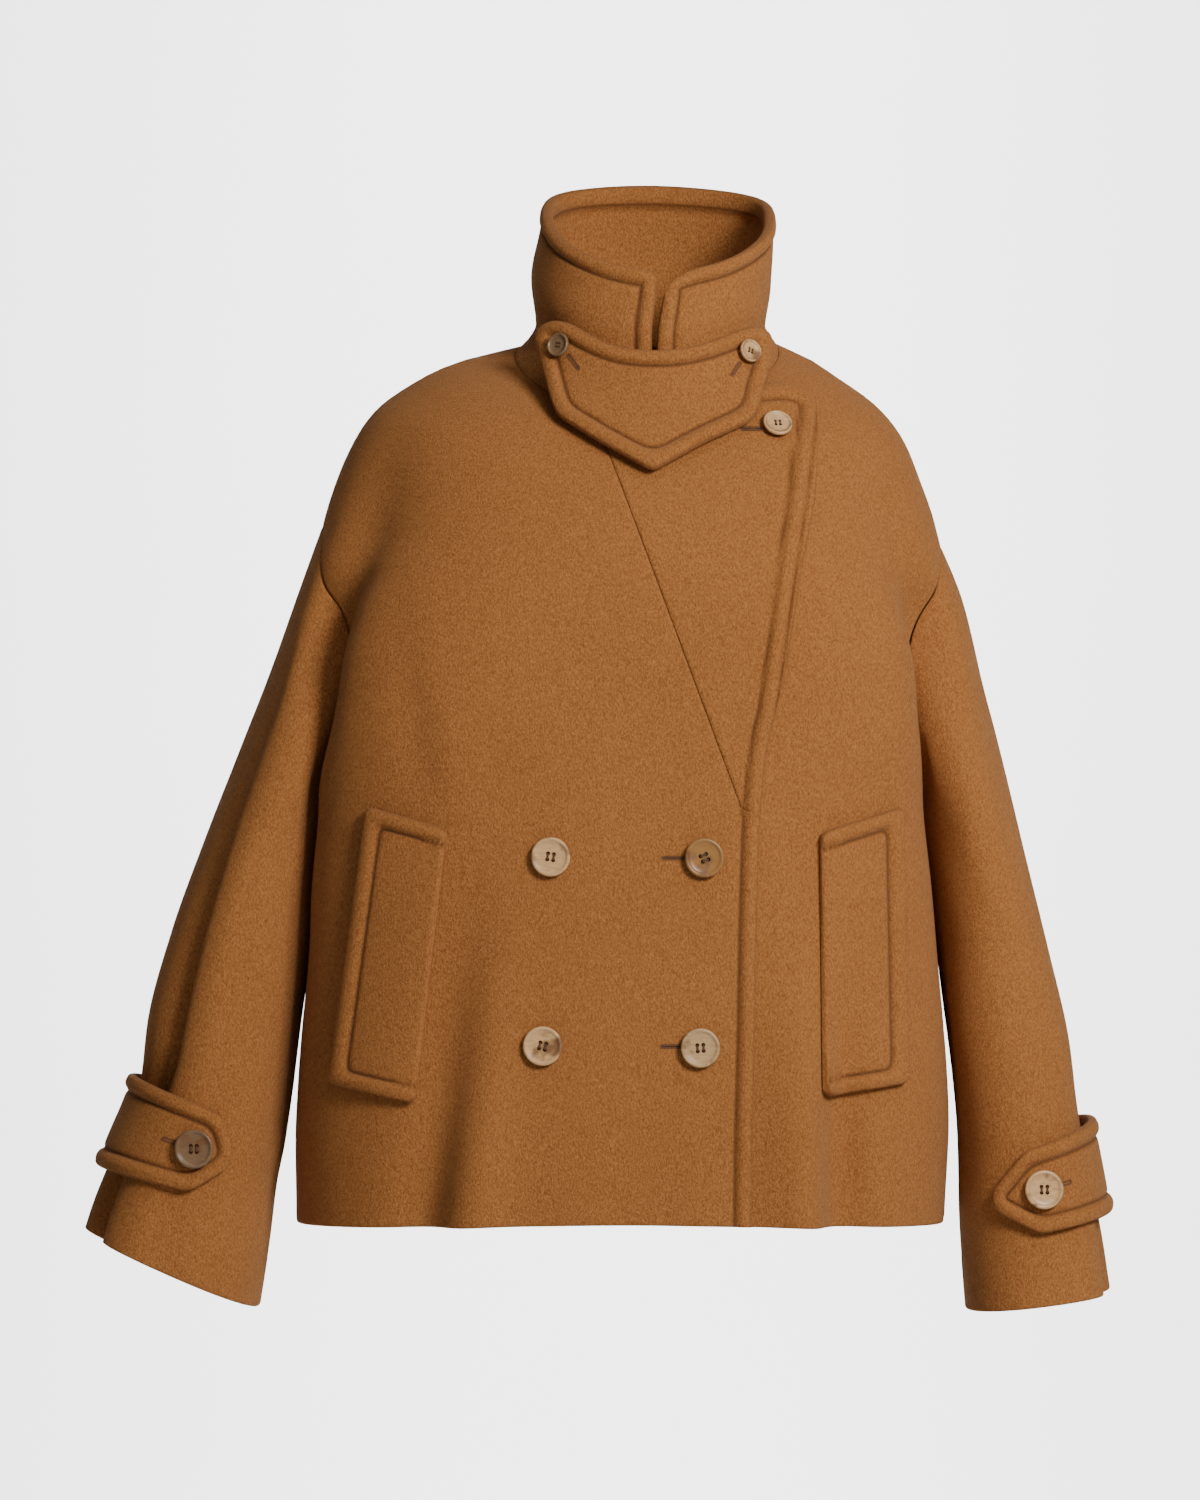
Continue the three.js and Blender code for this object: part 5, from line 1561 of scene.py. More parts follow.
@dataclass
class Collar:
    """Stand collar of two layers, open at the throat."""

    dresser: Dresser
    wool: bpy.types.Material
    form: LoopStack = field(default_factory=lambda: LoopStack((
        (-2, -7.5, 99.5, 92, 80, 2.1, 2.1, 34.5, 9.2, 2),
        (6, -5.5, 92, 92, 79, 2.1, 2.1, 34, 8.5, 1),
        (18, -4.8, 86, 91.5, 78, 2.1, 2.1, 33.5, 7.5, 0),
        (54, -4, 90, 93, 81, 2.15, 2.3, 34, 6.8, -1.5),
        (82, -0.5, 88, 89, 79, 2.2, 2.6, 36.5, 6, -2),
        (103, 1.5, 85.5, 85, 76, 2.2, 2.75, 38, 5.6, -2),
    )))
    slit_foot: float = 0.5
    slit_rim: float = 3.2
    slit_x: float = -6.0
    left_corner: float = 30.0
    right_corner: float = 13.0
    tucked: float = 6.0

    def patch(self) -> Patch:
        """Cloth of the collar.

        Returns:
            The cloth.
        """
        foot, rim = self.form.rows[0][0], self.form.rows[-1][0]
        reach, height = 92.0, rim - foot - SEAM_GAP
        middle = math.degrees((self.slit_x + 7.5) / reach)
        band = EDGE_STOPS[-1]
        around = stops_between(EDGE_STOPS, EDGE_STOPS, np.array([2 * math.pi * 88]), 118)[0]
        drops = stops_between(EDGE_STOPS, SEAM_STOPS, np.array([height]), 22)[0]
        drop = np.concatenate((drops, height + self.tucked * np.array((0.1, 0.4, 1.0))))[:, None]
        away = np.minimum(around, around[-1] - around)[None]
        corner = np.where(around < around[-1] / 2, self.left_corner, self.right_corner)[None]
        edge = np.maximum(0, corner - away)
        cut = corner - np.sqrt(np.maximum(0, corner ** 2 - edge ** 2))
        side = foot + SEAM_GAP + (height - drop) * (height - 0.8 * cut) / height
        slit = np.degrees(mix(self.slit_foot, self.slit_rim, (side - foot) / (rim - foot)) / reach)
        turn_band = np.degrees(np.minimum(away, band) / reach)
        share = np.clip((around - band) / (around[-1] - 2 * band), 0, 1)[None]
        turn = mix(middle + slit + turn_band, middle + 360 - slit - turn_band, share)
        base = self.form.surface(turn, side)
        out = way_out(self.form.surface, turn, side, 0.5, 0.8)
        edge_away = np.minimum(drop + 0.2 * cut, away)
        from_seam = np.broadcast_to(height - drop, turn.shape)
        under_seam = 2.4 * ease(-from_seam / 2)
        top = EdgeRoll.outer(edge_away, DOUBLED) + EdgeRoll.seam(np.maximum(from_seam, 0)) - under_seam
        under = EdgeRoll.inner(edge_away / 1.4, DOUBLED, 0.9)
        ripple = 0.5 * np.sin(np.radians(7 * turn)) * bell(side - 60, 26)
        # Last argument: painted shade in the stitched groove and along the edge
        return Patch.of(base, out, top + ripple, under + ripple, EdgeRoll.groove(edge_away))

    def build(self) -> list[Array]:
        """Make the collar, and give the line of its stitched groove.

        Returns:
            The lines of the grooves.
        """
        patch = self.patch()
        piece = Maker.cloth("wool_collar", [patch], self.wool)
        self.dresser.cloth(piece, patch.cut(), "hung", node="collar")
        start, end = patch.outer[GROOVE:-3, GROOVE][::-1], patch.outer[GROOVE:-3, -1 - GROOVE]
        rim = patch.outer[GROOVE, GROOVE + 1 : -1 - GROOVE]
        return [np.concatenate((start, rim, end))]


@dataclass
class ThroatForm:
    """The stiff surface of the throat tab: on the collar's foot above, flatter over the fronts below."""

    body: BodyForm
    neck: LoopStack
    centre: float = -4.8
    smoothing: float = 5.0
    stiff: Curves = field(default_factory=lambda: Curves("height reach bend", (
        (34, 93, 0.0064), (19, 94, 0.0062), (0, 97, 0.0052), (-25, 100, 0.0038), (-45, 104, 0.0027),
        (-70, 112, 0.0018), (-99, 124, 0.0011), (-118, 130, 0.0009),
    )))
    turns: Array = field(default_factory=lambda: np.arange(-84.0, 84.1, 1.5))
    heights: Array = field(default_factory=lambda: np.arange(-118.0, 34.1, 1.5))

    def __post_init__(self) -> None:
        """Measure the reach of the surface once, on a net of turns and heights."""
        turn, height = np.meshgrid(self.turns, self.heights)
        on_neck = self.reach_of(self.neck.surface, turn, height, self.body.foot, 95.0)
        on_chest = self.reach_of(self.body.point, turn, height, -260.0, self.body.foot)
        fitted = np.maximum(on_neck, on_chest)
        c, s = np.cos(np.radians(turn)), np.sin(np.radians(turn))
        bend = self.stiff.held(height, "bend") * np.maximum(s * s, 1e-6)
        hung = (np.sqrt(c * c + 4 * self.stiff.held(height, "reach") * bend) - c) / (2 * bend)
        apart = np.sqrt((fitted - hung) ** 2 + self.smoothing ** 2)
        self.reach = 0.5 * (fitted + hung + apart) - 1

    def reach_of(self, surface: Surface, turn: Array, height: Array, lowest: float, highest: float) -> Array:
        """Distance of a surface from the neck's middle line at turns and heights.

        Args:
            surface: points of the surface by two places.
            turn: degrees from the front, towards the wearer's left.
            height: height in millimetres.
            lowest: lowest place to look at.
            highest: highest place to look at.

        Returns:
            The distances.
        """
        own = turn.copy()
        for _ in range(7):
            low, high = np.full_like(turn, lowest), np.full_like(turn, highest)
            for _ in range(22):
                side = (low + high) / 2
                point = surface(own, side)
                below = point[..., 2] < height
                low, high = np.where(below, side, low), np.where(below, high, side)
            own = own + turn - np.degrees(np.arctan2(point[..., 0] - self.centre, -point[..., 1]))
        return np.hypot(point[..., 0] - self.centre, point[..., 1])

    def point(self, turn: Array, height: Array) -> Array:
        """Points of the surface.

        Args:
            turn: degrees from the front, towards the wearer's left.
            height: height in millimetres.

        Returns:
            The points.
        """
        a = np.clip((turn - self.turns[0]) / 1.5, 0, len(self.turns) - 1.001)
        b = np.clip((height - self.heights[0]) / 1.5, 0, len(self.heights) - 1.001)
        i, j = b.astype(int), a.astype(int)
        u, v = a - j, b - i
        low = mix(self.reach[i, j], self.reach[i, j + 1], u)
        high = mix(self.reach[i + 1, j], self.reach[i + 1, j + 1], u)
        reach = mix(low, high, v)
        s, c = np.sin(np.radians(turn)), np.cos(np.radians(turn))
        return np.stack((self.centre + reach * s, -reach * c, height), -1)

    def on(self, flat: Array, lift: Array) -> Array:
        """Points lifted off the surface where it is seen at x and z.

        Args:
            flat: flat places.
            lift: distance off the surface.

        Returns:
            The lifted points.
        """
        turn = np.degrees(np.arctan2(flat[..., 0] - self.centre, 100.0))
        height = np.asarray(flat[..., 1], float)
        for _ in range(16):
            ahead = -self.point(turn, height)[..., 1]
            turn = 0.5 * turn + 0.5 * np.degrees(np.arctan2(flat[..., 0] - self.centre, ahead))
        out = way_out(self.point, turn, height, 3.0, 3.0)
        return self.point(turn, height) + out * np.asarray(lift)[..., None]


@dataclass(frozen=True)
class Corner:
    """Corner of a flat outline, and the side that starts there."""

    x: float
    z: float
    cuts: int = 1
    banded: bool = True
    corner: bool = False


@dataclass
class LaidPiece:
    """Doubled piece cut to a flat outline and laid on a surface."""

    name: str
    outline: Sequence[Corner]
    place: Place
    rounding: int = 5
    softening: float = 0.7
    thickness: float = DOUBLED

    def __post_init__(self) -> None:
        """Keep the outline's corners as an array."""
        self.corners = np.array([(corner.x, corner.z) for corner in self.outline], float)
        self.banded = np.array([corner.banded for corner in self.outline])

    def inset(self, distance: float) -> Array:
        """Outline moved inwards, corner by corner.

        Args:
            distance: how far inwards.

        Returns:
            The corners.
        """
        before, after = np.roll(self.corners, 1, 0), np.roll(self.corners, -1, 0)
        turn = np.sign(np.sum(self.corners[:, 0] * after[:, 1] - after[:, 0] * self.corners[:, 1]))
        arriving, leaving = unit(self.corners - before), unit(after - self.corners)
        first = np.stack((-arriving[:, 1], arriving[:, 0]), -1) * turn
        second = np.stack((-leaving[:, 1], leaving[:, 0]), -1) * turn
        halfway = unit(first + second)
        reach = distance / np.maximum(0.3, np.sum(halfway * first, -1))
        return self.corners + halfway * reach[:, None]

    def ring(self, distance: float) -> Array:
        """Points of the outline moved inwards, with its corners rounded.

        Args:
            distance: how far inwards.

        Returns:
            The points.
        """
        inset = self.inset(distance)
        after = np.roll(inset, -1, 0)
        points = np.concatenate([
            mix(inset[k], after[k], (np.arange(corner.cuts) / corner.cuts)[:, None])
            for k, corner in enumerate(self.outline)
        ])
        for _ in range(self.rounding + round(self.softening * distance)):
            points = 0.5 * points + 0.25 * (np.roll(points, 1, 0) + np.roll(points, -1, 0))
        return points

    def sides(self) -> tuple[int, int]:
        """Facets of the first and the second of the four sides.

        Returns:
            The two counts.
        """
        starts = [k for k, corner in enumerate(self.outline) if corner.corner]
        cuts = [corner.cuts for corner in self.outline]
        return sum(cuts[starts[0]:starts[1]]), sum(cuts[starts[1]:starts[2]])

    @staticmethod
    def filled(ring: Array, across: int, down: int) -> Array:
        """Grid of points inside a ring, from its four sides.

        Args:
            ring: points of the ring.
            across: facets of the first side.
            down: facets of the second side.

        Returns:
            The grid.
        """
        top, right = ring[: across + 1], ring[across : across + down + 1]
        bottom = ring[across + down : 2 * across + down + 1][::-1]
        left = np.concatenate((ring[2 * across + down :], ring[:1]))[::-1]
        u, v = np.linspace(0, 1, across + 1)[None, :, None], np.linspace(0, 1, down + 1)[:, None, None]
        sides = mix(left[:, None], right[:, None], u) + mix(top[None], bottom[None], v)
        corners = mix(mix(top[0], top[-1], u), mix(bottom[0], bottom[-1], u), v)
        return sides - corners

    def patches(self) -> list[Patch]:
        """The ring of the rolled edge and the middle inside it.

        Returns:
            The cloth, in two parts.
        """
        across, down = self.sides()
        rings = np.stack([self.ring(distance) for distance in EDGE_STOPS])
        rings = np.concatenate((rings, rings[:, :1]), 1)
        grids = (rings, self.filled(rings[-1, :-1], across, down))
        closed = np.concatenate((self.corners, self.corners[:1]))
        made = []
        for grid in grids:
            away = line_distance(grid, closed, self.banded)
            plain = line_distance(grid, closed, ~self.banded) if not self.banded.all() else away + 99
            if grid is rings:
                nominal = np.broadcast_to(np.array(EDGE_STOPS)[:, None], away.shape)
                away = np.where(away < plain + 0.5, nominal, away)
            top = EdgeRoll.outer(away, self.thickness) + 1.6 * EdgeRoll.seam(plain)
            lift = LAID_GAP + self.thickness
            outer = self.place(grid, lift + top)
            under = self.place(grid, lift + EdgeRoll.inner(away, self.thickness))
            # Painted shade in the stitched groove and along the edge
            made.append(Patch(outer, under, EdgeRoll.groove(away), grid))
        return made

    def cut(self) -> tuple[float, float, float]:
        """Width, length and area of the flat cloth, in metres.

        Returns:
            Width, length and area.
        """
        after = np.roll(self.corners, -1, 0)
        area = abs(np.sum(self.corners[:, 0] * after[:, 1] - after[:, 0] * self.corners[:, 1])) / 2
        width, length = np.ptp(self.corners, axis=0)
        return width / METRE, length / METRE, area / METRE ** 2

    def build(self, dresser: Dresser, wool: bpy.types.Material, rests_on: Sequence[str]) -> list[Array]:
        """Make the piece, let it stand for its node, and give the lines of its stitched groove.

        Args:
            dresser: registers the piece.
            wool: finish of the cloth.
            rests_on: pieces that it lies on.

        Returns:
            The lines of the grooves.
        """
        patches = self.patches()
        piece = Maker.cloth(self.name, patches, wool)
        dresser.cloth(piece, self.cut(), "laid", rests_on, self.name.removeprefix("wool_"))
        return runs(patches[0].outer[GROOVE], patches[0].groove[GROOVE])


def throat_tab(throat: ThroatForm) -> LaidPiece:
    """Pointed bib buttoned across the collar's foot, as seen from the front.

    Args:
        throat: surface that the tab is laid on.

    Returns:
        The piece.
    """
    rows = (
        (-88.8, 6.1, 3, True), (-83.2, 14.2, 3, False), (-74.4, 17.9, 4, False), (-61.7, 14.2, 4, False),
        (-50.4, 6.2, 4, False), (-36, -1.9, 4, False), (-20, -5.7, 4, False), (-2.4, -6.7, 4, False),
        (15.2, -5.7, 4, False), (31.1, -1.9, 4, False), (47.2, 4.6, 3, False), (60, 10.3, 3, False),
        (71.2, 13.2, 3, False), (80.7, 7.7, 3, False), (83, -1.9, 4, True), (81.6, -16, 5, False),
        (76.5, -32.2, 7, False), (72.7, -53.2, 3, True), (66.2, -61.4, 10, False), (34, -76.4, 12, False),
        (-4.3, -98.1, 12, False), (-42.5, -76.4, 13, False), (-72.9, -56.9, 4, True), (-77.6, -45, 5, False),
        (-81.5, -25.8, 4, False), (-85.6, -6.4, 1, False), (-87.6, -2, 2, False),
    )
    corners = [Corner(x, z, cuts, True, corner) for x, z, cuts, corner in rows]
    return LaidPiece("wool_throat_tab", corners, throat.on, rounding=2)


def pocket_welts(body: BodyForm) -> list[tuple[LaidPiece, str]]:
    """Slanted welts, with the piece that each lies on.

    Args:
        body: the body's cloth.

    Returns:
        Each welt with that name.
    """

    def on_right(flat: Array, lift: Array) -> Array:
        """Points over the right front."""
        return body.on_front(flat, lift + 0.4)

    def on_left(flat: Array, lift: Array) -> Array:
        """Points over the left front."""
        return body.over_left_front(flat, lift + 0.4)

    right = (Corner(-211, -341, 18, True, True), Corner(-153.5, -357, 52, False, True),
             Corner(-177.5, -557.5, 18, True, True), Corner(-238.5, -544.5, 52, True, True))
    left = (Corner(117.5, -360, 18, True, True), Corner(177, -341, 52, True, True),
            Corner(181, -544, 18, True, True), Corner(121, -553, 52, False, True))
    return [
        (LaidPiece("wool_right_pocket_welt", right, on_right, 2, 0.15), "wool_right_front"),
        (LaidPiece("wool_left_pocket_welt", left, on_left, 2, 0.15), "wool_left_front"),
    ]


@dataclass(frozen=True)
class Strap:
    """Strap round a cuff, by degrees round the sleeve."""

    back: float
    upper: float
    lower: float
    tip: float
    button: float
    middle: float
    width: float = 63.0
    tilt: float = 8.0
    rise: float = 2.0
    nose: float = 8.0

    SCALE = math.radians(78)

    def place(self, sleeve: SleeveForm) -> Place:
        """Place function: flat points are lengths round the sleeve and up it.

        Args:
            sleeve: sleeve that it goes round.

        Returns:
            The place function.
        """

        def over(flat: Array, lift: Array) -> Array:
            """Points over the sleeve.

            Args:
                flat: flat places.
                lift: distance off the surface.

            Returns:
                The points.
            """
            around = flat[..., 0] / self.SCALE
            along = self.middle * sleeve.length - flat[..., 1] + self.tilt * np.sin(np.radians(around))
            return sleeve.over(around, along, lift + self.rise)

        return over

    def piece(self, name: str, sleeve: SleeveForm) -> LaidPiece:
        """The strap itself.

        Args:
            name: name of the piece.
            sleeve: sleeve that it goes round.

        Returns:
            The strap.
        """
        half = self.width / 2
        rows = (
            (self.back, half, 58, True, True),
            (self.upper, half, 9, True, True),
            (self.tip, self.nose, 4, True, False),
            (self.tip, -self.nose, 9, True, False),
            (self.lower, -half, 58, True, True),
            (self.back, -half, 22, False, True),
        )
        corners = [Corner(x * self.SCALE, z, cuts, band, corner) for x, z, cuts, band, corner in rows]
        return LaidPiece(name, corners, self.place(sleeve), 3, 0.3)


@dataclass(frozen=True)
class ButtonSpot:
    """Where a button sits: its node, its flat place, its size, how it is turned, and its horn."""

    node: str
    flat: tuple[float, float]
    diameter: float
    roll: float
    horn: HornFinish
    slot: str = "horn"


@dataclass
class Fastenings:
    """Buttons with their thread, buttonholes, and the stitching of the rolled edges."""

    dresser: Dresser
    stand: float = 2.2
    rim: tuple[tuple[float, float], ...] = (
        (0.20, 2.2), (0.70, 2.2), (0.90, 2.6), (0.98, 3.3), (1.0, 4.1), (0.995, 4.9), (0.97, 5.6),
        (0.93, 6.0), (0.885, 6.1), (0.84, 5.95), (0.80, 5.55), (0.765, 5.1), (0.72, 4.85), (0.5, 4.72),
    )
    thread_radius: float = 0.36
    slit_radius: float = 0.5
    stitch_radius: float = 0.45
    hole_pitch: float = 0.6

    HOLE_REACH = 0.075
    HOLE_RADIUS = 0.052
    STRAND_RADIUS = 0.011

    @staticmethod
    def frame(place: Place, flat: Sequence[float], lift: float, roll: float) -> Matrix:
        """Matrix that sets a flat thing on a surface, turned by some degrees.

        Args:
            place: place function of the surface.
            flat: flat places.
            lift: distance off the surface.
            roll: turn in degrees.

        Returns:
            The matrix.
        """
        spot = np.array(flat, float)
        base, above = place(spot, np.array(lift)), place(spot, np.array(lift + 1.0))
        up = Vector(unit(above - base))
        across = Vector((0, 0, 1)).cross(up).normalized()
        turned = Matrix((across, up.cross(across), up)).transposed().to_4x4()
        rolled = turned @ Matrix.Rotation(math.radians(roll), 4, "Z")
        return Matrix.Translation(Vector(base / METRE)) @ rolled

    def button(
        self, name: str, diameter: float, frame: Matrix, horn: bpy.types.Material,
    ) -> bpy.types.Object:
        """Turned button with a raised rim and four holes.

        Args:
            name: name of the piece.
            diameter: diameter in millimetres.
            frame: matrix of the button's place.
            horn: its finish.

        Returns:
            The new object.
        """
        radius = diameter / (2 * METRE)
        bm = bmesh.new()
        profile = [bm.verts.new((share * radius, 0, height / METRE)) for share, height in self.rim]
        edges = [bm.edges.new(pair) for pair in zip(profile, profile[1:])]
        bmesh.ops.spin(bm, geom=profile + edges, cent=(0, 0, 0), axis=(0, 0, 1), steps=56,
                       angle=2 * math.pi, use_merge=True)
        rings = [edge for edge in bm.edges if edge.is_boundary]
        bmesh.ops.holes_fill(bm, edges=rings)
        bmesh.ops.recalc_face_normals(bm, faces=bm.faces[:])
        for face in bm.faces:
            face.smooth = True
        made = Maker.finish(name, bm, horn)
        cutter = self.cylinders(self.HOLE_RADIUS * diameter / METRE, self.hole_spots(diameter), 0.0075, 12)
        made.data = self.carved(made, cutter)
        made.data.transform(frame)
        return made

    @staticmethod
    def hole_spots(diameter: float) -> list[tuple[float, float]]:
        """Middles of the four holes, in metres."""
        reach = Fastenings.HOLE_REACH * diameter / METRE
        return [(x * reach, y * reach) for x in (-1, 1) for y in (-1, 1)]

    @staticmethod
    def cylinders(
        radius: float, spots: Sequence[tuple[float, float]], height: float, sides: int,
    ) -> bmesh.types.BMesh:
        """Upright cylinders that stand on the ground plane.

        Args:
            radius: radius of each.
            spots: middles of them.
            height: height in metres.
            sides: facets of each.

        Returns:
            Their mesh.
        """
        bm = bmesh.new()
        for x, y in spots:
            bmesh.ops.create_cone(bm, cap_ends=True, segments=sides, radius1=radius, radius2=radius,
                                  depth=height, matrix=Matrix.Translation((x, y, height / 2)))
        return bm

    @staticmethod
    def carved(made: bpy.types.Object, cutter: bmesh.types.BMesh) -> bpy.types.Mesh:
        """Mesh of an object with a cutter taken out of it.

        Args:
            made: object that is cut.
            cutter: mesh that is taken out.

        Returns:
            The cut mesh.
        """
        mesh = bpy.data.meshes.new("cutter")
        cutter.to_mesh(mesh)
        cutter.free()
        tool = bpy.data.objects.new("cutter", mesh)
        bpy.context.scene.collection.objects.link(tool)
        cut = made.modifiers.new("holes", "BOOLEAN")
        cut.operation = "DIFFERENCE"
        cut.solver = "EXACT"
        cut.object = tool
        bpy.context.view_layer.update()
        carved = bpy.data.meshes.new_from_object(made.evaluated_get(bpy.context.evaluated_depsgraph_get()))
        made.modifiers.remove(cut)
        bpy.data.objects.remove(tool)
        bpy.data.meshes.remove(mesh)
        carved.set_sharp_from_angle(angle=math.radians(40))
        return carved

    def sewn(self, bm: bmesh.types.BMesh, diameter: float, frame: Matrix) -> None:
        """Thread bars through the holes of a button, and the stem under it.

        Args:
            bm: mesh that takes the new faces.
            diameter: diameter in millimetres.
            frame: matrix of the button's place.
        """
        reach = self.HOLE_REACH * diameter / METRE
        radius = self.STRAND_RADIUS * diameter / METRE
        for side in (-1, 1):
            for strand in (-1, 0, 1):
                tilt = Matrix.Rotation(math.pi / 2, 4, "X")
                spot = Matrix.Translation((side * reach + strand * 1.5 * radius, 0, 0.0050))
                bmesh.ops.create_cone(bm, cap_ends=True, segments=8, radius1=radius, radius2=radius,
                                      depth=2 * reach, matrix=frame @ spot @ tilt)
                for end in (-1, 1):
                    down = Matrix.Translation((side * reach + strand * 1.1 * radius, end * reach, 0.0036))
                    bmesh.ops.create_cone(bm, cap_ends=True, segments=8, radius1=radius, radius2=radius,
                                          depth=0.0030, matrix=frame @ down)
        stem = Matrix.Translation((0, 0, 0.5 * self.stand / METRE))
        bmesh.ops.create_cone(bm, cap_ends=True, segments=16, radius1=0.0028, radius2=0.0022,
                              depth=self.stand / METRE, matrix=frame @ stem)

    def buttonhole(self, stitches: bmesh.types.BMesh, slit_shade_rods: bmesh.types.BMesh, place: Place,
                   start: Sequence[float], end: Sequence[float], lift: float) -> None:
        """Corded edge of a slit worked on a surface, with a near-black rod of painted shade along the slit.

        Args:
            stitches: mesh that takes the thread.
            slit_shade_rods: mesh that takes the near-black rod of painted shade in the slit.
            place: place function of the surface.
            start: flat end of the slit away from the button.
            end: its end at the button.
            lift: lift of the surface's face.
        """
        first, last = np.array(start, float), np.array(end, float)
        along = unit(last - first)
        aside = np.array((-along[1], along[0]))
        count = int(np.linalg.norm(last - first) / self.hole_pitch)
        for k in range(count):
            middle = mix(first, last, (k + 0.5) / count)
            for side in (-1, 1):
                near, far = middle + side * 0.35 * aside, middle + side * 1.75 * aside
                inside, outside = place(near, np.array(lift - 0.15)), place(far, np.array(lift - 0.05))
                self.dash(stitches, inside, outside, self.thread_radius)
        for turn in np.linspace(-1.2, 1.2, 5):
            way = -math.cos(turn) * along + math.sin(turn) * aside
            inside = place(first + 0.3 * way, np.array(lift))
            outside = place(first + 1.8 * way, np.array(lift))
            self.dash(stitches, inside, outside, self.thread_radius)
        # Near-black rod sunk along the slit: painted shade of the opening
        sunk = np.array(lift - 0.35)
        self.dash(slit_shade_rods, place(first, sunk), place(last, sunk), self.slit_radius)

    @staticmethod
    def dash(bm: bmesh.types.BMesh, start: Array, end: Array, radius: float) -> None:
        """One short stretch of thread between two points, in millimetres.

        Args:
            bm: mesh that takes the new faces.
            start: first end.
            end: last end.
            radius: radius of each.
        """
        a, b = Vector(start / METRE), Vector(end / METRE)
        turned = (b - a).to_track_quat("Z", "Y").to_matrix().to_4x4()
        middle = Matrix.Translation((a + b) / 2)
        bmesh.ops.create_cone(bm, cap_ends=True, segments=6, radius1=radius / METRE, radius2=radius / METRE,
                              depth=(b - a).length, matrix=middle @ turned)

    def stitched(self, bm: bmesh.types.BMesh, line: Array, pitch: float = 4.6, share: float = 0.62) -> None:
        """Row of stitches sunk in a groove.

        Args:
            bm: mesh that takes the new faces.
            line: points of the line.
            pitch: length of one stitch with its gap.
            share: share of the pitch that shows.
        """
        lengths = measured(line[None], 1)[0]
        count = max(1, int(lengths[-1] / pitch))
        for k in range(count):
            ends = (np.array((k, k + share)) + 0.19) * lengths[-1] / count
            a, b = (np.array([np.interp(at, lengths, line[:, axis]) for axis in range(3)]) for at in ends)
            self.dash(bm, a, b, self.stitch_radius)

    def keep(self, name: str, bm: bmesh.types.BMesh, material: bpy.types.Material) -> None:
        """Finish a mesh of many small pieces of thread.

        Args:
            name: name of the piece.
            bm: mesh that takes the new faces.
            material: its finish.
        """
        for face in bm.faces:
            face.smooth = True
        self.dresser.other(Maker.finish(name, bm, material), "wool")


@dataclass
class Studio:
    """Camera, backdrop and soft lights."""

    centre: tuple[float, float] = (-0.04275, -0.3)
    distance: float = 5.0
    floor: float = -1.8
    wall: float = 6.2
    bend: float = 1.2
    wall_top: float = 6.0
    near: float = -9.0
    width: float = 18
    world: float = 0.12
    # Name, place, aim or None for the coat, side of the square, watts
    lamps: tuple[tuple[Any, ...], ...] = (
        ("key", (1.4, -2.4, 0.85), None, 0.8, 88),
        ("top", (0.4, -1.2, 2.4), None, 1.2, 14),
        ("fill", (-2.0, -3.6, 0.2), None, 2.0, 3),
        ("wall", (0.0, 3.9, 1.6), (0.0, 6.2, -0.2), 2.4, 310),
        ("floor", (0.0, 4.1, -0.6), (0.0, 6.0, -1.8), 2.0, 96),
    )

    def camera(self) -> None:
        """Camera at the photograph's place."""
        data = bpy.data.cameras.new("camera")
        data.lens = 160
        data.sensor_width = 36
        made = bpy.data.objects.new("camera", data)
        made.location = (self.centre[0], -self.distance, self.centre[1])
        made.rotation_euler = (math.pi / 2, 0, 0)
        bpy.context.scene.collection.objects.link(made)
        bpy.context.scene.camera = made

    def backdrop(self) -> None:
        """Pale floor that curves up into a wall."""
        graph = Graph("pale_backdrop")
        place = graph.coordinates("Object")
        grain = graph.noise(place, 3, 2, 0.5)
        colour = graph.blend(grain, (0.87, 0.87, 0.87, 1), (0.89, 0.89, 0.89, 1))
        material = graph.dress({"Base Color": colour, "Roughness": 0.9})
        bm = bmesh.new()
        foot, middle = self.wall - self.bend, self.floor + self.bend
        profile = [(self.near, self.floor), (foot, self.floor)]
        profile += [(foot + self.bend * math.sin(a), middle - self.bend * math.cos(a))
                    for a in np.linspace(0.08, math.pi / 2, 18)]
        profile.append((self.wall, self.wall_top))
        corners = [bm.verts.new((-self.width / 2, y, z)) for y, z in profile]
        edges = [bm.edges.new(pair) for pair in zip(corners, corners[1:])]
        grown = bmesh.ops.extrude_edge_only(bm, edges=edges)
        moved = [item for item in grown["geom"] if isinstance(item, bmesh.types.BMVert)]
        bmesh.ops.translate(bm, verts=moved, vec=(self.width, 0, 0))
        for face in bm.faces:
            face.smooth = True
            face.normal_update()
        if sum(face.normal.z for face in bm.faces) < 0:
            bmesh.ops.reverse_faces(bm, faces=bm.faces[:])
        Maker.finish("backdrop", bm, material)

    def lamp(
        self, name: str, place: Sequence[float], aim: Sequence[float], size: float, power: float,
    ) -> None:
        """Square soft light.

        Args:
            name: name of the light.
            place: where it stands, in metres.
            aim: what it faces.
            size: side of the square.
            power: its strength in watts.
        """
        data = bpy.data.lights.new(name, "AREA")
        data.shape = "SQUARE"
        data.size = size
        data.energy = power
        made = bpy.data.objects.new(name, data)
        made.location = place
        towards = Vector(aim) - Vector(place)
        made.rotation_euler = towards.to_track_quat("-Z", "Y").to_euler()
        made.visible_camera = False
        bpy.context.scene.collection.objects.link(made)

    def build(self) -> None:
        """Set up the studio."""
        self.camera()
        self.backdrop()
        coat = (self.centre[0], 0.0, self.centre[1])
        for name, place, aim, size, power in self.lamps:
            self.lamp(name, place, aim or coat, size, power)
        world = bpy.data.worlds.new("soft_room")
        bpy.context.scene.world = world
        world.use_nodes = True
        world.node_tree.nodes["Background"].inputs["Color"].default_value = (1, 1, 1, 1)
        world.node_tree.nodes["Background"].inputs["Strength"].default_value = self.world


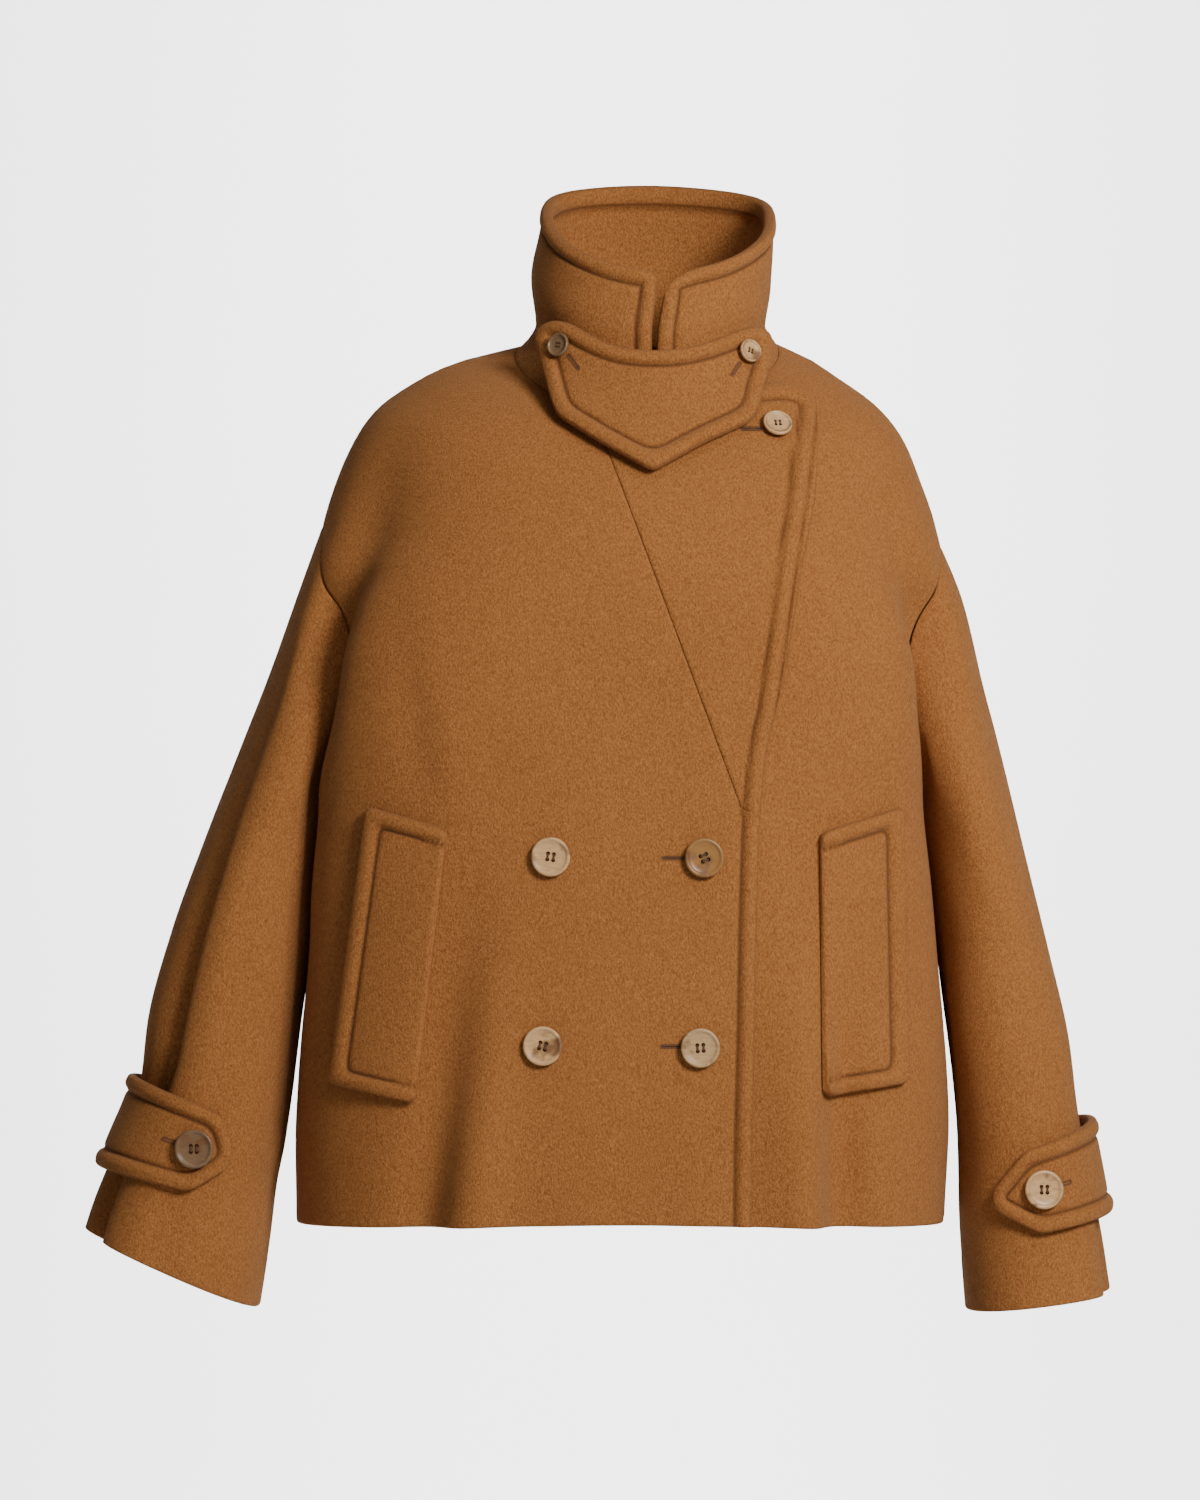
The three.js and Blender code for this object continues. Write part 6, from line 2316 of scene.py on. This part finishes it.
CREAM = (0.68, 0.40, 0.18, 1)
GREY_CREAM = (0.54, 0.335, 0.16, 1)
AMBER = (0.33, 0.15, 0.04, 1)
SMOKE = (0.18, 0.105, 0.055, 1)

# Diameters of the buttons, in millimetres
LARGE = 29
MEDIUM = 22.5
SMALL = 18

COAT_SPOTS = (
    ButtonSpot("front_button_upper_right", (-78.3, -377.7), LARGE, -8,
               HornFinish("horn_a", CREAM, share=0.3)),
    ButtonSpot("front_button_upper_left", (32.7, -378.4), LARGE, -68,
               HornFinish("horn_b", AMBER, share=0.45), "amber_horn"),
    ButtonSpot("front_button_lower_right", (-84.1, -514.6), LARGE, -14,
               HornFinish("horn_c", CREAM, share=0.4)),
    ButtonSpot("front_button_lower_left", (29.8, -516.1), LARGE, 4,
               HornFinish("horn_d", GREY_CREAM, share=0.35)),
)
LAPEL_SPOT = ButtonSpot("lapel_button", (86.4, -64.5), MEDIUM, 0, HornFinish("horn_e", CREAM, share=0.3))
TAB_SPOTS = (
    ButtonSpot("tab_button_right", (-68, -3.5), SMALL, 82, HornFinish("horn_f", SMOKE, share=0.6)),
    ButtonSpot("tab_button_left", (62.5, -8.5), SMALL, -22, HornFinish("horn_g", CREAM, share=0.25)),
)
COAT_HOLES = (((3.7, -378.4), (19.7, -378.4)), ((2.2, -515.0), (18.1, -515.0)))
LAPEL_HOLE = ((61.5, -66.0), (75.7, -66.0))
TAB_HOLES = (((-56.5, -20.5), (-63.5, -9.5)), ((52.0, -25.5), (58.0, -15.5)))
CUFF_HOLE = (-27.0, -12.0)
RIGHT_STRAP = Strap(-75, 98, 93, 112, 88, 0.802, tilt=-1.5)
LEFT_STRAP = Strap(-75, 92, 88, 118, 82, 0.817, tilt=2.0)


def main() -> None:
    """Build the coat and its studio."""
    logging.basicConfig(level=logging.INFO, format="%(message)s")
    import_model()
    wool = WoolFinish().make()
    camel = ThreadFinish("camel_thread", (0.20, 0.075, 0.024, 1)).make()
    brown = ThreadFinish("brown_thread", (0.13, 0.056, 0.022, 1)).make()
    # Near-black finish of the rods that paint the shade inside the buttonhole slits
    slit = ThreadFinish("slit_shade", (0.012, 0.006, 0.003, 1)).make()
    dresser = Dresser()
    Studio().build()
    body = BodyForm()
    lines = BodyPanels(body, dresser, wool).build()
    collar = Collar(dresser, wool)
    lines += collar.build()
    throat = ThroatForm(body, collar.form)
    lines += throat_tab(throat).build(dresser, wool, ["wool_collar", "wool_right_front"])
    for welt, under in pocket_welts(body):
        lines += welt.build(dresser, wool, [under])
    spots = [(spot, body.on_front, SEAM_GAP) for spot in COAT_SPOTS]
    spots.append((LAPEL_SPOT, body.over_left_front, LAID_GAP + LAYER + SEAM_GAP))
    spots += [(spot, throat.on, LAID_GAP + DOUBLED + SEAM_GAP) for spot in TAB_SPOTS]
    holes = [(body.on_front, start, end, 0.0) for start, end in COAT_HOLES]
    holes.append((body.over_left_front, *LAPEL_HOLE, LAID_GAP + LAYER))
    holes += [(throat.on, start, end, LAID_GAP + DOUBLED) for start, end in TAB_HOLES]
    for side, sleeve, strap, horn in (
        ("right", right_sleeve(body), RIGHT_STRAP, HornFinish("horn_h", SMOKE, share=0.5)),
        ("left", left_sleeve(body), LEFT_STRAP, HornFinish("horn_i", CREAM, share=0.3)),
    ):
        patch = sleeve.patch()
        piece = Maker.cloth(f"wool_{side}_sleeve", [patch], wool)
        dresser.cloth(piece, patch.cut(), "hung", node=f"{side}_sleeve")
        laid = strap.piece(f"wool_{side}_cuff_strap", sleeve)
        lines += laid.build(dresser, wool, [f"wool_{side}_sleeve"])
        middle = strap.button * strap.SCALE
        spot = ButtonSpot(f"cuff_button_{side}", (middle, 0.0), LARGE, 0, horn)
        spots.append((spot, strap.place(sleeve), LAID_GAP + DOUBLED + SEAM_GAP))
        start, end = ((middle + reach, 0.0) for reach in CUFF_HOLE)
        holes.append((strap.place(sleeve), start, end, LAID_GAP + DOUBLED))
    fastenings = Fastenings(dresser)
    seams, threads, slit_shade_rods = bmesh.new(), bmesh.new(), bmesh.new()
    for line in lines:
        fastenings.stitched(seams, line)
    for place, start, end, lift in holes:
        fastenings.buttonhole(seams, slit_shade_rods, place, start, end, lift)
    for spot, place, lift in spots:
        frame = fastenings.frame(place, spot.flat, lift, spot.roll)
        made = fastenings.button(f"turned_{spot.node}", spot.diameter, frame, spot.horn.make())
        dresser.other(made, spot.slot, [spot.node])
        fastenings.sewn(threads, spot.diameter, frame)
    fastenings.keep("groove_stitches", seams, camel)
    fastenings.keep("button_threads", threads, brown)
    fastenings.keep("buttonhole_slit_shade", slit_shade_rods, slit)


if __name__ == "__main__":
    main()
